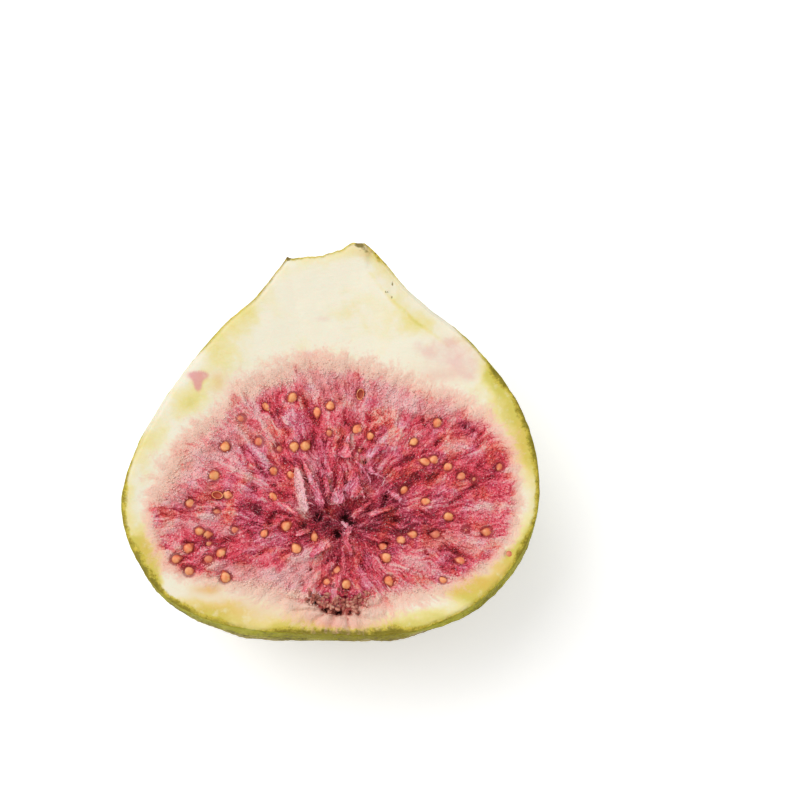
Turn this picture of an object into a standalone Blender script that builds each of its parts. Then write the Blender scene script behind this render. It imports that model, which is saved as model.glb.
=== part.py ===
"""Half of a freeze-dried fig, lying on its rounded back with the cut face up.

Metres, +Z up. The stem end points to +Y and the eye of the fruit to -Y. The origin is on the
ground, under the middle of the fruit's box. The half grew as one body, so it is one solid: a
round back of skin, a cut face that dips towards the pulp, the hollow in the middle of the pulp
and the groove of the eye at the rim.
"""

import math

import bmesh
import bpy
from mathutils import Vector
from mathutils.geometry import interpolate_bezier

MM = 0.001

# Widest outline of the fruit in millimetres, seen from above: clockwise from the tip of the
# stem's cut end to its left corner, with the hollow edge of the cut stem after it
FLANK = [
    (3.9, 22.7), (5.8, 20.6), (8.3, 17.6), (11.4, 14.9), (15.9, 11.2), (19.9, 6.6), (22.4, 1.7),
    (23.6, -3.2), (23.5, -8.2), (21.9, -12.9), (18.7, -17.1), (14.4, -20.3), (9.6, -22.1),
    (4.6, -22.7), (-2.0, -22.4), (-9.0, -22.1), (-15.0, -20.5), (-19.3, -17.8), (-22.0, -13.8),
    (-23.6, -9.6), (-23.6, -5.6), (-22.3, -1.2), (-19.6, 3.9), (-15.4, 9.7), (-11.6, 13.7),
    (-8.4, 16.7), (-6.2, 19.3), (-4.8, 21.0),
]
STEM_CUT = [(-4.8, 21.0), (-0.8, 21.2), (3.9, 22.7)]
UNCUT_CORNER = (-4.2, 23.0)  # where the left flank would run on to, past the cut

# The back
DEPTH = 21.0 * MM            # from the rim of the cut face down to the ground
ROUNDNESS = 0.94             # depth of the back against its half width
OVERHANG = math.radians(10)  # how far past its widest line the fruit was cut
STEM_OVERHANG = math.radians(2)
STEM_START = 10.0 * MM       # the stem's overhang takes over from here
STEM_END = 20.0 * MM         # to here
DEEPEST = Vector((0.0, -5.0)) * MM
STEEPEST = 30.0 * MM         # limits how blunt the two ends of the back are
LIMIT_POWER = 8              # how suddenly that limit sets in
RIM_SHARE = 0.985            # past this share of the way to the rim the fullness stays
WIDEST_ACROSS = 0.999        # keeps the fullness off zero on the flanks
RIDGES = 9                   # soft lengthwise ridges under the skin
RIDGE_PHASE = 0.6
RIDGE_HEIGHT = 0.012         # of the half width

# The cut face
HOLLOW = Vector((0.8, -9.6)) * MM
HOLLOW_DEPTH = 3.6 * MM
HOLLOW_RADIUS = 2.2 * MM
PULP_DIP = 0.9 * MM
PULP_POWER = 3               # how near the rim the dip begins
EYE_DEPTH = 1.1 * MM
EYE_HALF_WIDTH = 2.4 * MM
EYE_START = -17.0 * MM
EYE_END = -20.0 * MM
EYE_POWER = 12               # how close to the rim the groove ends
RIM_CURL = 0.4 * MM          # how much the sides of the face curled up in drying
CURL_WIDTH = 23.0 * MM       # from the middle to where that curl is reached
CURL_POWER = 4               # how soon the curl fades down the back

# Mesh density
FLANK_STEPS = 88
STEM_STEPS = 8
FACE_RINGS = 14
BACK_RINGS = 18
RING_CROWDING = 1.3          # draws the face's rings closer together in the hollow
CURVE_STEPS = 24             # between two points of an outline, before it is evened out
FLAT_SNAP = 0.05 * MM        # points this near the ground are put on it

# Mean colour of skin, flesh and pulp, and how the dried surface takes the light
SKIN_COLOUR = (0.42, 0.40, 0.12, 1.0)
SKIN_ROUGHNESS = 0.72


def smooth_run(points, steps):
    """Even steps along a smooth curve through the points; the last point is left out."""
    knots = [Vector((x, y, 0.0)) * MM for x, y in points]
    ends = [2 * knots[0] - knots[1], *knots, 2 * knots[-1] - knots[-2]]
    dense = []
    for before, start, end, after in zip(ends, ends[1:], ends[2:], ends[3:]):
        leave = start + (end - before) / 6
        arrive = end - (after - start) / 6
        dense += interpolate_bezier(start, leave, arrive, end, CURVE_STEPS)[:-1]
    dense.append(knots[-1])
    return even_steps(dense, steps)


def even_steps(line, steps):
    """Points at equal distances along a line of many points, without its last one."""
    lengths = [0.0]
    for a, b in zip(line, line[1:]):
        lengths.append(lengths[-1] + (b - a).length)
    picked = []
    at = 0
    for i in range(steps):
        wanted = lengths[-1] * i / steps
        while lengths[at + 1] < wanted:
            at += 1
        share = (wanted - lengths[at]) / (lengths[at + 1] - lengths[at])
        picked.append(line[at].lerp(line[at + 1], share).to_2d())
    return picked


def outlines():
    """The widest outline, and the flanks alone as if the stem had not been cut.

    Both are moved so that the middle of the widest outline's box is at the origin.
    """
    flank = smooth_run(FLANK, FLANK_STEPS)
    widest = flank + smooth_run(STEM_CUT, STEM_STEPS)
    xs = [p.x for p in widest]
    ys = [p.y for p in widest]
    middle = Vector((max(xs) + min(xs), max(ys) + min(ys))) / 2
    uncut = flank + [Vector(UNCUT_CORNER) * MM]
    return [p - middle for p in widest], [p - middle for p in uncut]


def span_at(uncut, y):
    """Middle and half width between the flanks at one y."""
    crossings = []
    for a, b in zip(uncut, uncut[1:] + uncut[:1]):
        if min(a.y, b.y) <= y <= max(a.y, b.y) and a.y != b.y:
            crossings.append(a.x + (b.x - a.x) * (y - a.y) / (b.y - a.y))
    return (max(crossings) + min(crossings)) / 2, (max(crossings) - min(crossings)) / 2


def fullness_at(uncut, edge, share):
    """How deep the back would be under its middle, as judged from one point of it.

    The fruit is round about its long axis, so its depth at any y follows its width there.
    """
    share = min(share, RIM_SHARE)
    p = DEEPEST.lerp(edge, share)
    middle, half = span_at(uncut, p.y)
    across = max(-WIDEST_ACROSS, min(WIDEST_ACROSS, (p.x - middle) / half))
    turn = math.asin(across)
    ridge = 1 + RIDGE_HEIGHT * math.cos(RIDGES * turn + RIDGE_PHASE)
    depth = half * math.cos(turn) * ridge / math.sqrt(1 - share * share)
    return (depth**-LIMIT_POWER + STEEPEST**-LIMIT_POWER) ** (-1 / LIMIT_POWER)


def back_point(uncut, edge, ring):
    """A point of the back: ring 0 is the rim of the face, the last ring is the deepest point."""
    stem = max(0.0, min(1.0, (edge.y - STEM_START) / (STEM_END - STEM_START)))
    overhang = OVERHANG + (STEM_OVERHANG - OVERHANG) * stem
    angle = -overhang + (math.pi / 2 + overhang) * ring / BACK_RINGS
    share = math.cos(angle)
    p = DEEPEST.lerp(edge, share)
    drop = (math.sin(angle) + math.sin(overhang)) / (1 + math.sin(overhang))
    curl = rim_curl(p) * (1 - ring / BACK_RINGS) ** CURL_POWER
    depth = ROUNDNESS * fullness_at(uncut, edge, share) * drop
    return Vector((p.x, p.y, DEPTH + curl - depth))


def rim_curl(p):
    """Height of the curled face above its own flat plane."""
    return RIM_CURL * (p.x / CURL_WIDTH) ** 2


def bell(distance, width):
    """A smooth hump: 1 in its middle and near 0 at twice its width."""
    return math.exp(-((distance / width) ** 2))


def face_height(p, share):
    """Height of the cut face over the ground; share is 0 in the hollow and 1 at the rim."""
    z = DEPTH + rim_curl(p)
    z -= PULP_DIP * (1 - share**PULP_POWER)
    z -= HOLLOW_DEPTH * bell((p - HOLLOW).length, HOLLOW_RADIUS)
    along = (p.y - EYE_START) / (EYE_END - EYE_START)
    along = max(0.0, min(1.0, along)) * (1 - share**EYE_POWER)
    z -= EYE_DEPTH * along * bell(p.x - HOLLOW.x, EYE_HALF_WIDTH)
    return z


def face_point(rim_edge, ring):
    """A point of the cut face: ring 0 is the rim, the last ring is the hollow."""
    share = (1 - ring / FACE_RINGS) ** RING_CROWDING
    p = HOLLOW.lerp(rim_edge, share)
    return Vector((p.x, p.y, face_height(p, share)))


def bridge(bm, upper, lower):
    """Four-sided faces between two rings of the same length, facing out."""
    count = len(upper)
    for i in range(count):
        j = (i + 1) % count
        bm.faces.new((upper[i], upper[j], lower[j], lower[i]))


def close(bm, ring, point, upward):
    """A fan of triangles from a ring to one point."""
    tip = bm.verts.new(point)
    count = len(ring)
    for i in range(count):
        j = (i + 1) % count
        pair = (ring[j], ring[i]) if upward else (ring[i], ring[j])
        bm.faces.new((*pair, tip))


def flatten_underside(bm):
    """Cuts the back off where it lay on the ground, and closes the cut."""
    bmesh.ops.bisect_plane(
        bm,
        geom=bm.verts[:] + bm.edges[:] + bm.faces[:],
        dist=FLAT_SNAP,
        plane_co=(0, 0, 0),
        plane_no=(0, 0, -1),
        clear_outer=True,
    )
    for v in bm.verts:
        if v.co.z < FLAT_SNAP:
            v.co.z = 0.0
    level = [f for f in bm.faces if max(v.co.z for v in f.verts) == 0.0]
    bmesh.ops.delete(bm, geom=level, context="FACES")
    bmesh.ops.holes_fill(bm, edges=[e for e in bm.edges if e.is_boundary])


def fig_mesh():
    """The closed surface of the half."""
    widest, uncut = outlines()
    bm = bmesh.new()
    rim = [bm.verts.new(back_point(uncut, edge, 0)) for edge in widest]

    above = rim
    for ring in range(1, BACK_RINGS):
        below = [bm.verts.new(back_point(uncut, edge, ring)) for edge in widest]
        bridge(bm, above, below)
        above = below
    close(bm, above, back_point(uncut, widest[0], BACK_RINGS), upward=False)

    outer = rim
    for ring in range(1, FACE_RINGS):
        inner = [bm.verts.new(face_point(v.co.to_2d(), ring)) for v in rim]
        bridge(bm, inner, outer)
        outer = inner
    close(bm, outer, (HOLLOW.x, HOLLOW.y, face_height(HOLLOW, 0.0)), upward=True)
    flatten_underside(bm)

    mesh = bpy.data.meshes.new("fig_half")
    bm.to_mesh(mesh)
    bm.free()
    return mesh


def fig_material():
    """Dried fruit, matt."""
    material = bpy.data.materials.new("fig_half")
    material.use_nodes = True
    shader = material.node_tree.nodes["Principled BSDF"]
    shader.inputs["Base Color"].default_value = SKIN_COLOUR
    shader.inputs["Roughness"].default_value = SKIN_ROUGHNESS
    shader.inputs["Metallic"].default_value = 0.0
    return material


def build():
    """Makes the half and puts it in the scene."""
    for old in list(bpy.data.objects):
        bpy.data.objects.remove(old, do_unlink=True)
    mesh = fig_mesh()
    mesh.materials.append(fig_material())
    mesh.shade_smooth()
    mesh.set_sharp_from_angle(angle=math.radians(50))
    fig = bpy.data.objects.new("fig_half", mesh)
    bpy.context.scene.collection.objects.link(fig)


build()
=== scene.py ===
"""Looks of a freeze-dried fig half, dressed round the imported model.

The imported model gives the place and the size. One fine closed mesh carries the flesh and the skin.
The seeds, the threads of the pulp, the torn petals round the hollow and the scales of the eye are
meshes of their own. All of it grew together, so every piece rides on the same body.

Lengths are millimetres while a shape is worked out, and metres in the meshes.
"""

from __future__ import annotations

import logging
import math
import sys
from collections.abc import Callable, Iterable
from dataclasses import dataclass, field
from enum import Enum

import bpy
import numpy as np
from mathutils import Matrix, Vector
from mathutils.kdtree import KDTree


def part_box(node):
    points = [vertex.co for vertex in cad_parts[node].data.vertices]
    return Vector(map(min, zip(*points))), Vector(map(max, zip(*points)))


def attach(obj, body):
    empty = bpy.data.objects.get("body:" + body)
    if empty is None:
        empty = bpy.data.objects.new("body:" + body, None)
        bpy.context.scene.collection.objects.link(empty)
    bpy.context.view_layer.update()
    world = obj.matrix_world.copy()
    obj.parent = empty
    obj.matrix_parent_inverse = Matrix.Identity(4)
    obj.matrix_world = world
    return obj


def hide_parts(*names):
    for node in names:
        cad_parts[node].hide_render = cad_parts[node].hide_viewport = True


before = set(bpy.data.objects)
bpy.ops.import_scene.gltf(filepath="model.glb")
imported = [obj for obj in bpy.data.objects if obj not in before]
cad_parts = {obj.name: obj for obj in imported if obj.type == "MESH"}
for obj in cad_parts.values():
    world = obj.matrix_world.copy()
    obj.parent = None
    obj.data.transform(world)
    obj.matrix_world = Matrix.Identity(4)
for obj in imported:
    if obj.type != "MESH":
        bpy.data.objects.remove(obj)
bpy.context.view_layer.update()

LOG = logging.getLogger("fig")
NODE = "fig_half"
BODY = "root"
MM = 0.001
PHOTO_SIDE = 800
LEVEL = (1.0, 1.0, 0.0)           # takes the height off a place
CURVE_STEPS = 40                  # between two points of a line, before it is evened out

Array = np.ndarray
Object = bpy.types.Object
Pair = tuple[float, float]         # x and y, in millimetres or in pixels of the photograph
Line = tuple[Pair, ...]
Point = tuple[float, float, float]
Colour = tuple[float, float, float, float]
Stops = list[tuple[float, Colour]]


def colour(*channels: int) -> Colour:
    """A display colour as the linear colour that shaders take.

    Args:
        channels: Red, green and blue as seen on a display, from 0 to 255.

    Returns:
        The linear colour with full alpha.
    """
    shares = [channel / 255 for channel in channels]
    linear = [c / 12.92 if c <= 0.04045 else ((c + 0.055) / 1.055) ** 2.4 for c in shares]
    return (*linear, 1.0)


def shades(*rows: tuple[float, int, int, int]) -> Stops:
    """The stops of a ramp, each from its place and its display colour."""
    return [(place, colour(*channels)) for place, *channels in rows]


def bell(distance: Array, width: float) -> Array:
    """A smooth hump: 1 at no distance and near 0 at twice the width."""
    return np.exp(-((distance / width) ** 2))


def ease(value: Array, low: float, high: float) -> Array:
    """A smooth step from 0 at low to 1 at high, which may be the smaller of the two."""
    share = np.clip((value - low) / (high - low), 0.0, 1.0)
    return share * share * (3 - 2 * share)


def link(data: bpy.types.ID) -> Object:
    """Puts data in the scene as an object of the same name.

    Args:
        data: A mesh, a lamp or a camera.

    Returns:
        The object.
    """
    made = bpy.data.objects.new(data.name, data)
    bpy.context.scene.collection.objects.link(made)
    return made


def spatial(at: Array) -> Array:
    """Places on a plane as places in space."""
    return np.column_stack([at, np.zeros(len(at))])


def circle(sides: int) -> Array:
    """Even angles once round."""
    return np.arange(sides) / sides * 2 * math.pi


class Grain:
    """Smooth random values in space, the same on each run."""

    SIDE = 64                  # of the lattice, which repeats after that
    FINER = 2.03               # how much finer each layer is than the one before
    APART = 7.3                # keeps the layers from lining up

    def __init__(self, seed: int) -> None:
        """Fills the lattice; the seed tells which of the possible grains this is."""
        self.lattice = np.random.default_rng(seed).random((self.SIDE,) * 3) * 2 - 1

    def at(self, points: Array) -> Array:
        """Values between -1 and 1 that change over a distance of about 1.

        Args:
            points: Places, one in a row of three numbers.

        Returns:
            One value for each place.
        """
        low = np.floor(points).astype(int)
        share = points - low
        share = share * share * (3 - 2 * share)
        total = np.zeros(len(points))
        for corner in np.ndindex(2, 2, 2):
            index = (low + corner) % self.SIDE
            weight = np.prod(np.where(np.array(corner) == 1, share, 1 - share), axis=1)
            total += weight * self.lattice[index[:, 0], index[:, 1], index[:, 2]]
        return total

    def layered(self, points: Array, layers: int) -> Array:
        """The sum of finer and finer layers, each half as strong as the one before."""
        return sum(self.at(points * self.FINER**k + self.APART * k) / 2**k for k in range(layers))


class Tint(Enum):
    """Soft patches of colour on the cut face, by the name of the mesh attribute that holds them."""

    HAZE = "haze"        # whitish pink bloom on the pulp
    DEEP = "deep"        # dark crimson pulp
    PEACH = "peach"      # pale orange fuzz
    BLUSH = "blush"      # pink stain in the pale flesh
    GREEN = "green"      # green cast in the pale flesh
    GOLD = "gold"        # orange cast in the pale flesh
    BARK = "bark"        # brown dried tissue
    SKIN = "skin"        # where the skin's cut edge shows as a broad olive band
    # Painted shade: the near-black colour of the gaps, which are also dug into the mesh
    VOID = "void"        # near-black gaps in the hollow
    CRISP = "crisp"      # where the pulp ends abruptly, without a broad fringe


@dataclass(frozen=True)
class Patch:
    """A soft round patch of colour, placed by a pixel of the photograph."""

    x: float
    y: float
    width: float
    strength: float
    height: float = 0.0        # its width where not given
    ragged: float = 0.55       # how far its outline strays, against its size
    most_ragged: float = 24.0  # the largest size that this counts with, in pixels

    def weigh(self, pixels: Array, wobble: Array) -> Array:
        """How strong the patch is at some pixels.

        Args:
            pixels: Pixels of the photograph, one in a row.
            wobble: Smooth noise that makes its outline ragged, one row of two for each pixel.

        Returns:
            The strength at each of them.
        """
        height = self.height or self.width
        stray = min(self.width, height, self.most_ragged) * self.ragged
        away = pixels - (self.x, self.y) + wobble * stray
        return self.strength * np.exp(-((away[:, 0] / self.width) ** 2 + (away[:, 1] / height) ** 2))


@dataclass(frozen=True)
class PhotoView:
    """The photograph's view of the half, as a camera that looks down on the cut face."""

    elevation: float = 79.0       # degrees over the floor
    lens: float = 100.0
    sensor: float = 36.0
    distance: float = 252.0       # from the camera to the middle of the cut face
    aim: Point = (7.8, 4.2, 21.0)
    clip: Pair = (0.01, 20.0)     # metres

    @property
    def back(self) -> Array:
        """The direction from the fruit to the camera."""
        angle = math.radians(self.elevation)
        return np.array([0.0, -math.cos(angle), math.sin(angle)])

    @property
    def place(self) -> Array:
        """Where the camera stands, in millimetres."""
        return np.array(self.aim) + self.back * self.distance

    @property
    def up(self) -> Array:
        """The direction that is up in the picture."""
        return np.cross(self.back, [1.0, 0.0, 0.0])

    def pixels(self, points: Array) -> Array:
        """Where places show in the photograph.

        Args:
            points: Places in millimetres, one in a row of three numbers.

        Returns:
            The pixel of each, one in a row.
        """
        seen = points - self.place
        depth = -(seen @ self.back)
        scale = self.lens / self.sensor * PHOTO_SIDE / depth
        middle = PHOTO_SIDE / 2
        return np.column_stack([middle + seen[:, 0] * scale, middle - (seen @ self.up) * scale])

    def on_plane(self, pixels: Iterable[Pair], height: float) -> Array:
        """Where pixels of the photograph lie on a level plane.

        Args:
            pixels: Pixels of the photograph.
            height: The plane's height over the floor in millimetres.

        Returns:
            One row of x and y in millimetres for each pixel.
        """
        step = self.sensor / self.lens / PHOTO_SIDE
        right, down = (np.array([*pixels]) - PHOTO_SIDE / 2).T[:, :, None]
        rays = right * step * np.array([1.0, 0.0, 0.0]) + self.up * -down * step - self.back
        reach = (height - self.place[2]) / rays[:, 2:]
        return (self.place + rays * reach)[:, :2]

    def make_camera(self) -> None:
        """Makes the scene's camera."""
        data = bpy.data.cameras.new("camera")
        data.lens = self.lens
        data.sensor_width = self.sensor
        camera = link(data)
        camera.location = Vector(self.place) * MM
        camera.rotation_euler = (math.radians(90 - self.elevation), 0.0, 0.0)
        data.clip_start, data.clip_end = self.clip
        bpy.context.scene.camera = camera


VIEW = PhotoView()


def smooth_line(points: Iterable[Pair], steps: int, closed: bool = False) -> Array:
    """Even steps along a smooth curve through points, without the last point.

    Args:
        points: What the curve runs through.
        steps: How many places to give.
        closed: Whether the curve runs back to its start.

    Returns:
        One row of x and y for each step.
    """
    knots = np.array([*points], float)
    if closed:
        knots = np.vstack([knots, knots[:1]])
        ends = np.vstack([knots[-2], knots, knots[1]])
    else:
        ends = np.vstack([2 * knots[0] - knots[1], knots, 2 * knots[-1] - knots[-2]])
    share = np.linspace(0, 1, CURVE_STEPS, endpoint=False)[:, None]
    runs = []
    for before, start, end, after in zip(ends, ends[1:], ends[2:], ends[3:]):
        leave, arrive = (end - before) / 2, (after - start) / 2
        cubic = 2 * (start - end) + leave + arrive
        square = 3 * (end - start) - 2 * leave - arrive
        runs.append(start + share * (leave + share * (square + share * cubic)))
    line = np.vstack([*runs, knots[-1:]])
    lengths = np.concatenate([[0], np.cumsum(np.linalg.norm(np.diff(line, axis=0), axis=1))])
    wanted = np.linspace(0, lengths[-1], steps, endpoint=False)
    return np.column_stack([np.interp(wanted, lengths, line[:, k]) for k in range(2)])


@dataclass
class Outline:
    """The widest outline of the half from above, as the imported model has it."""

    flank: Line = (
        (3.7, 22.7), (4.6, 21.9), (5.8, 20.6), (8.3, 17.6), (11.4, 14.9), (15.9, 11.2),
        (19.9, 6.6), (22.4, 1.7), (23.6, -3.2), (23.5, -8.2), (21.9, -12.9), (18.7, -17.1),
        (14.4, -20.3), (9.6, -22.1), (4.6, -22.7), (-2.0, -22.4), (-9.0, -22.1), (-15.0, -20.5),
        (-19.3, -17.8), (-22.0, -13.8), (-23.6, -9.6), (-23.6, -5.6), (-22.3, -1.2),
        (-19.6, 3.9), (-15.4, 9.7), (-11.6, 13.7), (-8.4, 16.7), (-6.4, 19.3), (-5.2, 21.1),
    )
    stem_cut: Line = (
        (-5.2, 21.1), (-4.4, 20.9), (-0.8, 21.3), (1.1, 22.0), (2.3, 22.65), (3.7, 22.7),
    )
    uncut_corner: Pair = (-4.2, 23.0)
    steps: int = 880
    stem_steps: int = 56
    levels: int = 600             # at which its width is measured
    inset: float = 0.01           # of the first and last level

    def __post_init__(self) -> None:
        """Works out the outline, and the middle and half width at each height of it."""
        flank = smooth_line(self.flank, self.steps - self.stem_steps)
        widest = np.vstack([flank, smooth_line(self.stem_cut, self.stem_steps)])
        low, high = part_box(NODE)
        cad_middle = np.array([low.x + high.x, low.y + high.y]) / 2 / MM
        move = cad_middle - (widest.max(axis=0) + widest.min(axis=0)) / 2
        self.widest = widest + move
        uncut = np.vstack([flank, [self.uncut_corner]]) + move
        low, high = uncut[:, 1].min() + self.inset, uncut[:, 1].max() - self.inset
        self.heights = np.linspace(low, high, self.levels)
        self.middles, self.halves = self.measure(uncut)

    def measure(self, uncut: Array) -> tuple[Array, Array]:
        """Middle and half width between the flanks at each level.

        Args:
            uncut: The outline as if the stem had not been cut.

        Returns:
            The middles and the half widths.
        """
        after = np.roll(uncut, -1, axis=0)
        low, high = np.minimum(uncut[:, 1], after[:, 1]), np.maximum(uncut[:, 1], after[:, 1])
        left, right = [], []
        for level in self.heights:
            hit = (low <= level) & (high >= level) & (high > low)
            share = (level - uncut[hit, 1]) / (after[hit, 1] - uncut[hit, 1])
            xs = uncut[hit, 0] + share * (after[hit, 0] - uncut[hit, 0])
            left.append(xs.min())
            right.append(xs.max())
        left, right = np.array(left), np.array(right)
        return (left + right) / 2, (right - left) / 2

    def edge(self, turn: Array) -> Array:
        """Places on the outline; turn runs from 0 to 1 once round it."""
        return follow(self.widest, turn)

    def span(self, y: Array) -> tuple[Array, Array]:
        """Middle and half width at any height of the outline."""
        return np.interp(y, self.heights, self.middles), np.interp(y, self.heights, self.halves)


def follow(line: Array, turn: Array) -> Array:
    """Places on a closed line of even steps.

    Args:
        line: The line's points, one in a row.
        turn: How far round each place is, from 0 to 1.

    Returns:
        One row for each place.
    """
    looped = np.vstack([line, line[:1]])
    at = (turn % 1.0) * len(line)
    steps = np.arange(len(looped))
    return np.column_stack([np.interp(at, steps, looped[:, k]) for k in range(line.shape[1])])


class Nearby:
    """Finds the nearest of some places on a plane."""

    def __init__(self, places: Array) -> None:
        """Sorts the places.

        Args:
            places: One row of x and y for each.
        """
        self.tree = KDTree(len(places))
        for index, place in enumerate(places):
            self.tree.insert((*place, 0.0), index)
        self.tree.balance()

    def find(self, wanted: Array) -> tuple[Array, Array]:
        """The number and the distance of the place that is nearest to each one wanted."""
        found = [self.tree.find((*place, 0.0)) for place in wanted]
        return np.array([number for _, number, _ in found]), np.array([gap for *_, gap in found])


@dataclass
class SquareDisc:
    """A square grid bent into a disc, so that its cells stay even out to the rim."""

    rings: int = 110

    def __post_init__(self) -> None:
        """Works out each point's ring and turn, and the quads between the points."""
        side = 2 * self.rings + 1
        column, row = np.meshgrid(np.arange(side) - self.rings, np.arange(side) - self.rings)
        x, y = column.ravel(), row.ravel()
        ring = np.maximum(abs(x), abs(y))
        safe = np.maximum(ring, 1)
        round_ring = np.select(
            [(y == -ring) & (x < ring), (x == ring) & (y < ring), (y == ring) & (x > -ring)],
            [x + ring, 3 * ring + y, 5 * ring - x],
            7 * ring - y,
        )
        self.share = ring / self.rings
        self.turn = np.where(ring > 0, round_ring / (8 * safe), 0.0)
        self.rim = np.flatnonzero(ring == self.rings)
        index = np.arange(side * side).reshape(side, side)
        corners = (index[:-1, :-1], index[1:, :-1], index[1:, 1:], index[:-1, 1:])
        self.quads = np.column_stack([c.ravel() for c in corners])


@dataclass(frozen=True)
class Seed:
    """One seed, placed by a pixel of the photograph."""

    x: float
    y: float
    size: float = 1.0
    sunk: float = 0.0      # how far it lies under the threads, in millimetres
    turn: float = 0.0      # degrees away from pointing at the hollow
    long: float = 1.0      # its length against a common seed's
    open: bool = False     # only the cut shell is left


# The fields of each seed, without the last ones where they are a common seed's
SEEDS = [Seed(*row) for row in (
    (292, 397, 1, 0, -55), (266, 406, 0.75, 0, 10, 1.35), (330, 405, 0.98, 0, 170),
    (317, 411, 0.82, 0, -12, 1.35), (360, 393, 0.8, 0, 0, 1, True), (329, 432, 0.7, 0.2),
    (357, 428, 1.02, 0, 150), (370, 435, 0.84, 0, -30), (437, 422, 0.98, 0, 10),
    (414, 441, 0.86, 0, -20), (241, 418, 0.85, 0.3, 20), (259, 441, 0.95, 0.2),
    (225, 446, 1.05, 0, 110), (278, 447, 0.85, 0.35), (294, 446, 0.94, 0, -30),
    (305, 445, 1.1, 0, 120), (425, 461, 0.86, 0, -50, 1.3), (434, 459, 0.9, 0.05, -50),
    (448, 466, 0.9, 0.1), (462, 476, 0.9, 0.2), (474, 479, 0.75, 0.35), (500, 467, 0.8, 0.1, 40),
    (214, 475, 1.05, 0, 20), (273, 470, 0.84, 0, -20), (291, 474, 0.76, 0, 10, 1.2),
    (359, 449, 0.6, 0.2), (328, 480, 0.8, 0.15), (273, 496, 0.76, 0, -25, 1.5),
    (217, 495, 0.78, 0, 0, 1, True), (227, 494, 0.9, 0.05), (190, 503, 0.95, 0.1, -40, 1.15),
    (216, 511, 0.75, 0.25), (404, 489, 0.9, 0, 40), (426, 501, 0.84, 0, 170, 1.15),
    (449, 516, 0.92, 0, 170, 1.15), (286, 525, 1, 0, 30), (264, 533, 0.76, 0, 50),
    (314, 536, 0.8, 0, 60, 1.2), (296, 548, 1.05, 0, 90), (199, 531, 0.85, 0.1),
    (207, 534, 0.9, 0.1), (234, 529, 0.8, 0.25), (209, 543, 0.7, 0.25), (188, 548, 1, 0.05, 30),
    (220, 553, 0.95, 0, 30, 1.2), (208, 559, 1.05, 0.32), (176, 559, 1, 0.1), (189, 571, 0.95, 0.1),
    (225, 577, 1.08, 0, 80), (413, 534, 0.86, 0.05), (401, 539, 0.9, 0.1), (383, 546, 0.75, 0.1),
    (386, 557, 0.98, 0, 10), (436, 534, 0.85, 0.3), (466, 529, 0.8, 0.4), (487, 532, 1, 0.1),
    (461, 560, 0.95, 0.12), (509, 555, 0.8, 0.3, 60), (389, 580, 1, 0, 160),
    (443, 580, 0.7, 0.1, 0, 1.2), (337, 569, 0.86, 0.15), (327, 581, 0.85, 0.1),
    (346, 584, 0.98, 0, 100), (332, 572, 0.6, 0.3),
)]

PULP_EDGE = [
    (311, 350), (349, 353), (382, 362), (423, 378), (467, 396), (496, 420), (516, 452),
    (521, 484), (521, 513), (510, 546), (483, 574), (445, 595), (400, 611), (372, 624),
    (338, 630), (303, 622), (270, 606), (232, 594), (195, 585), (165, 570), (150, 542),
    (144, 507), (155, 478), (167, 449), (193, 423), (219, 400), (239, 377), (273, 362),
]

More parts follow.
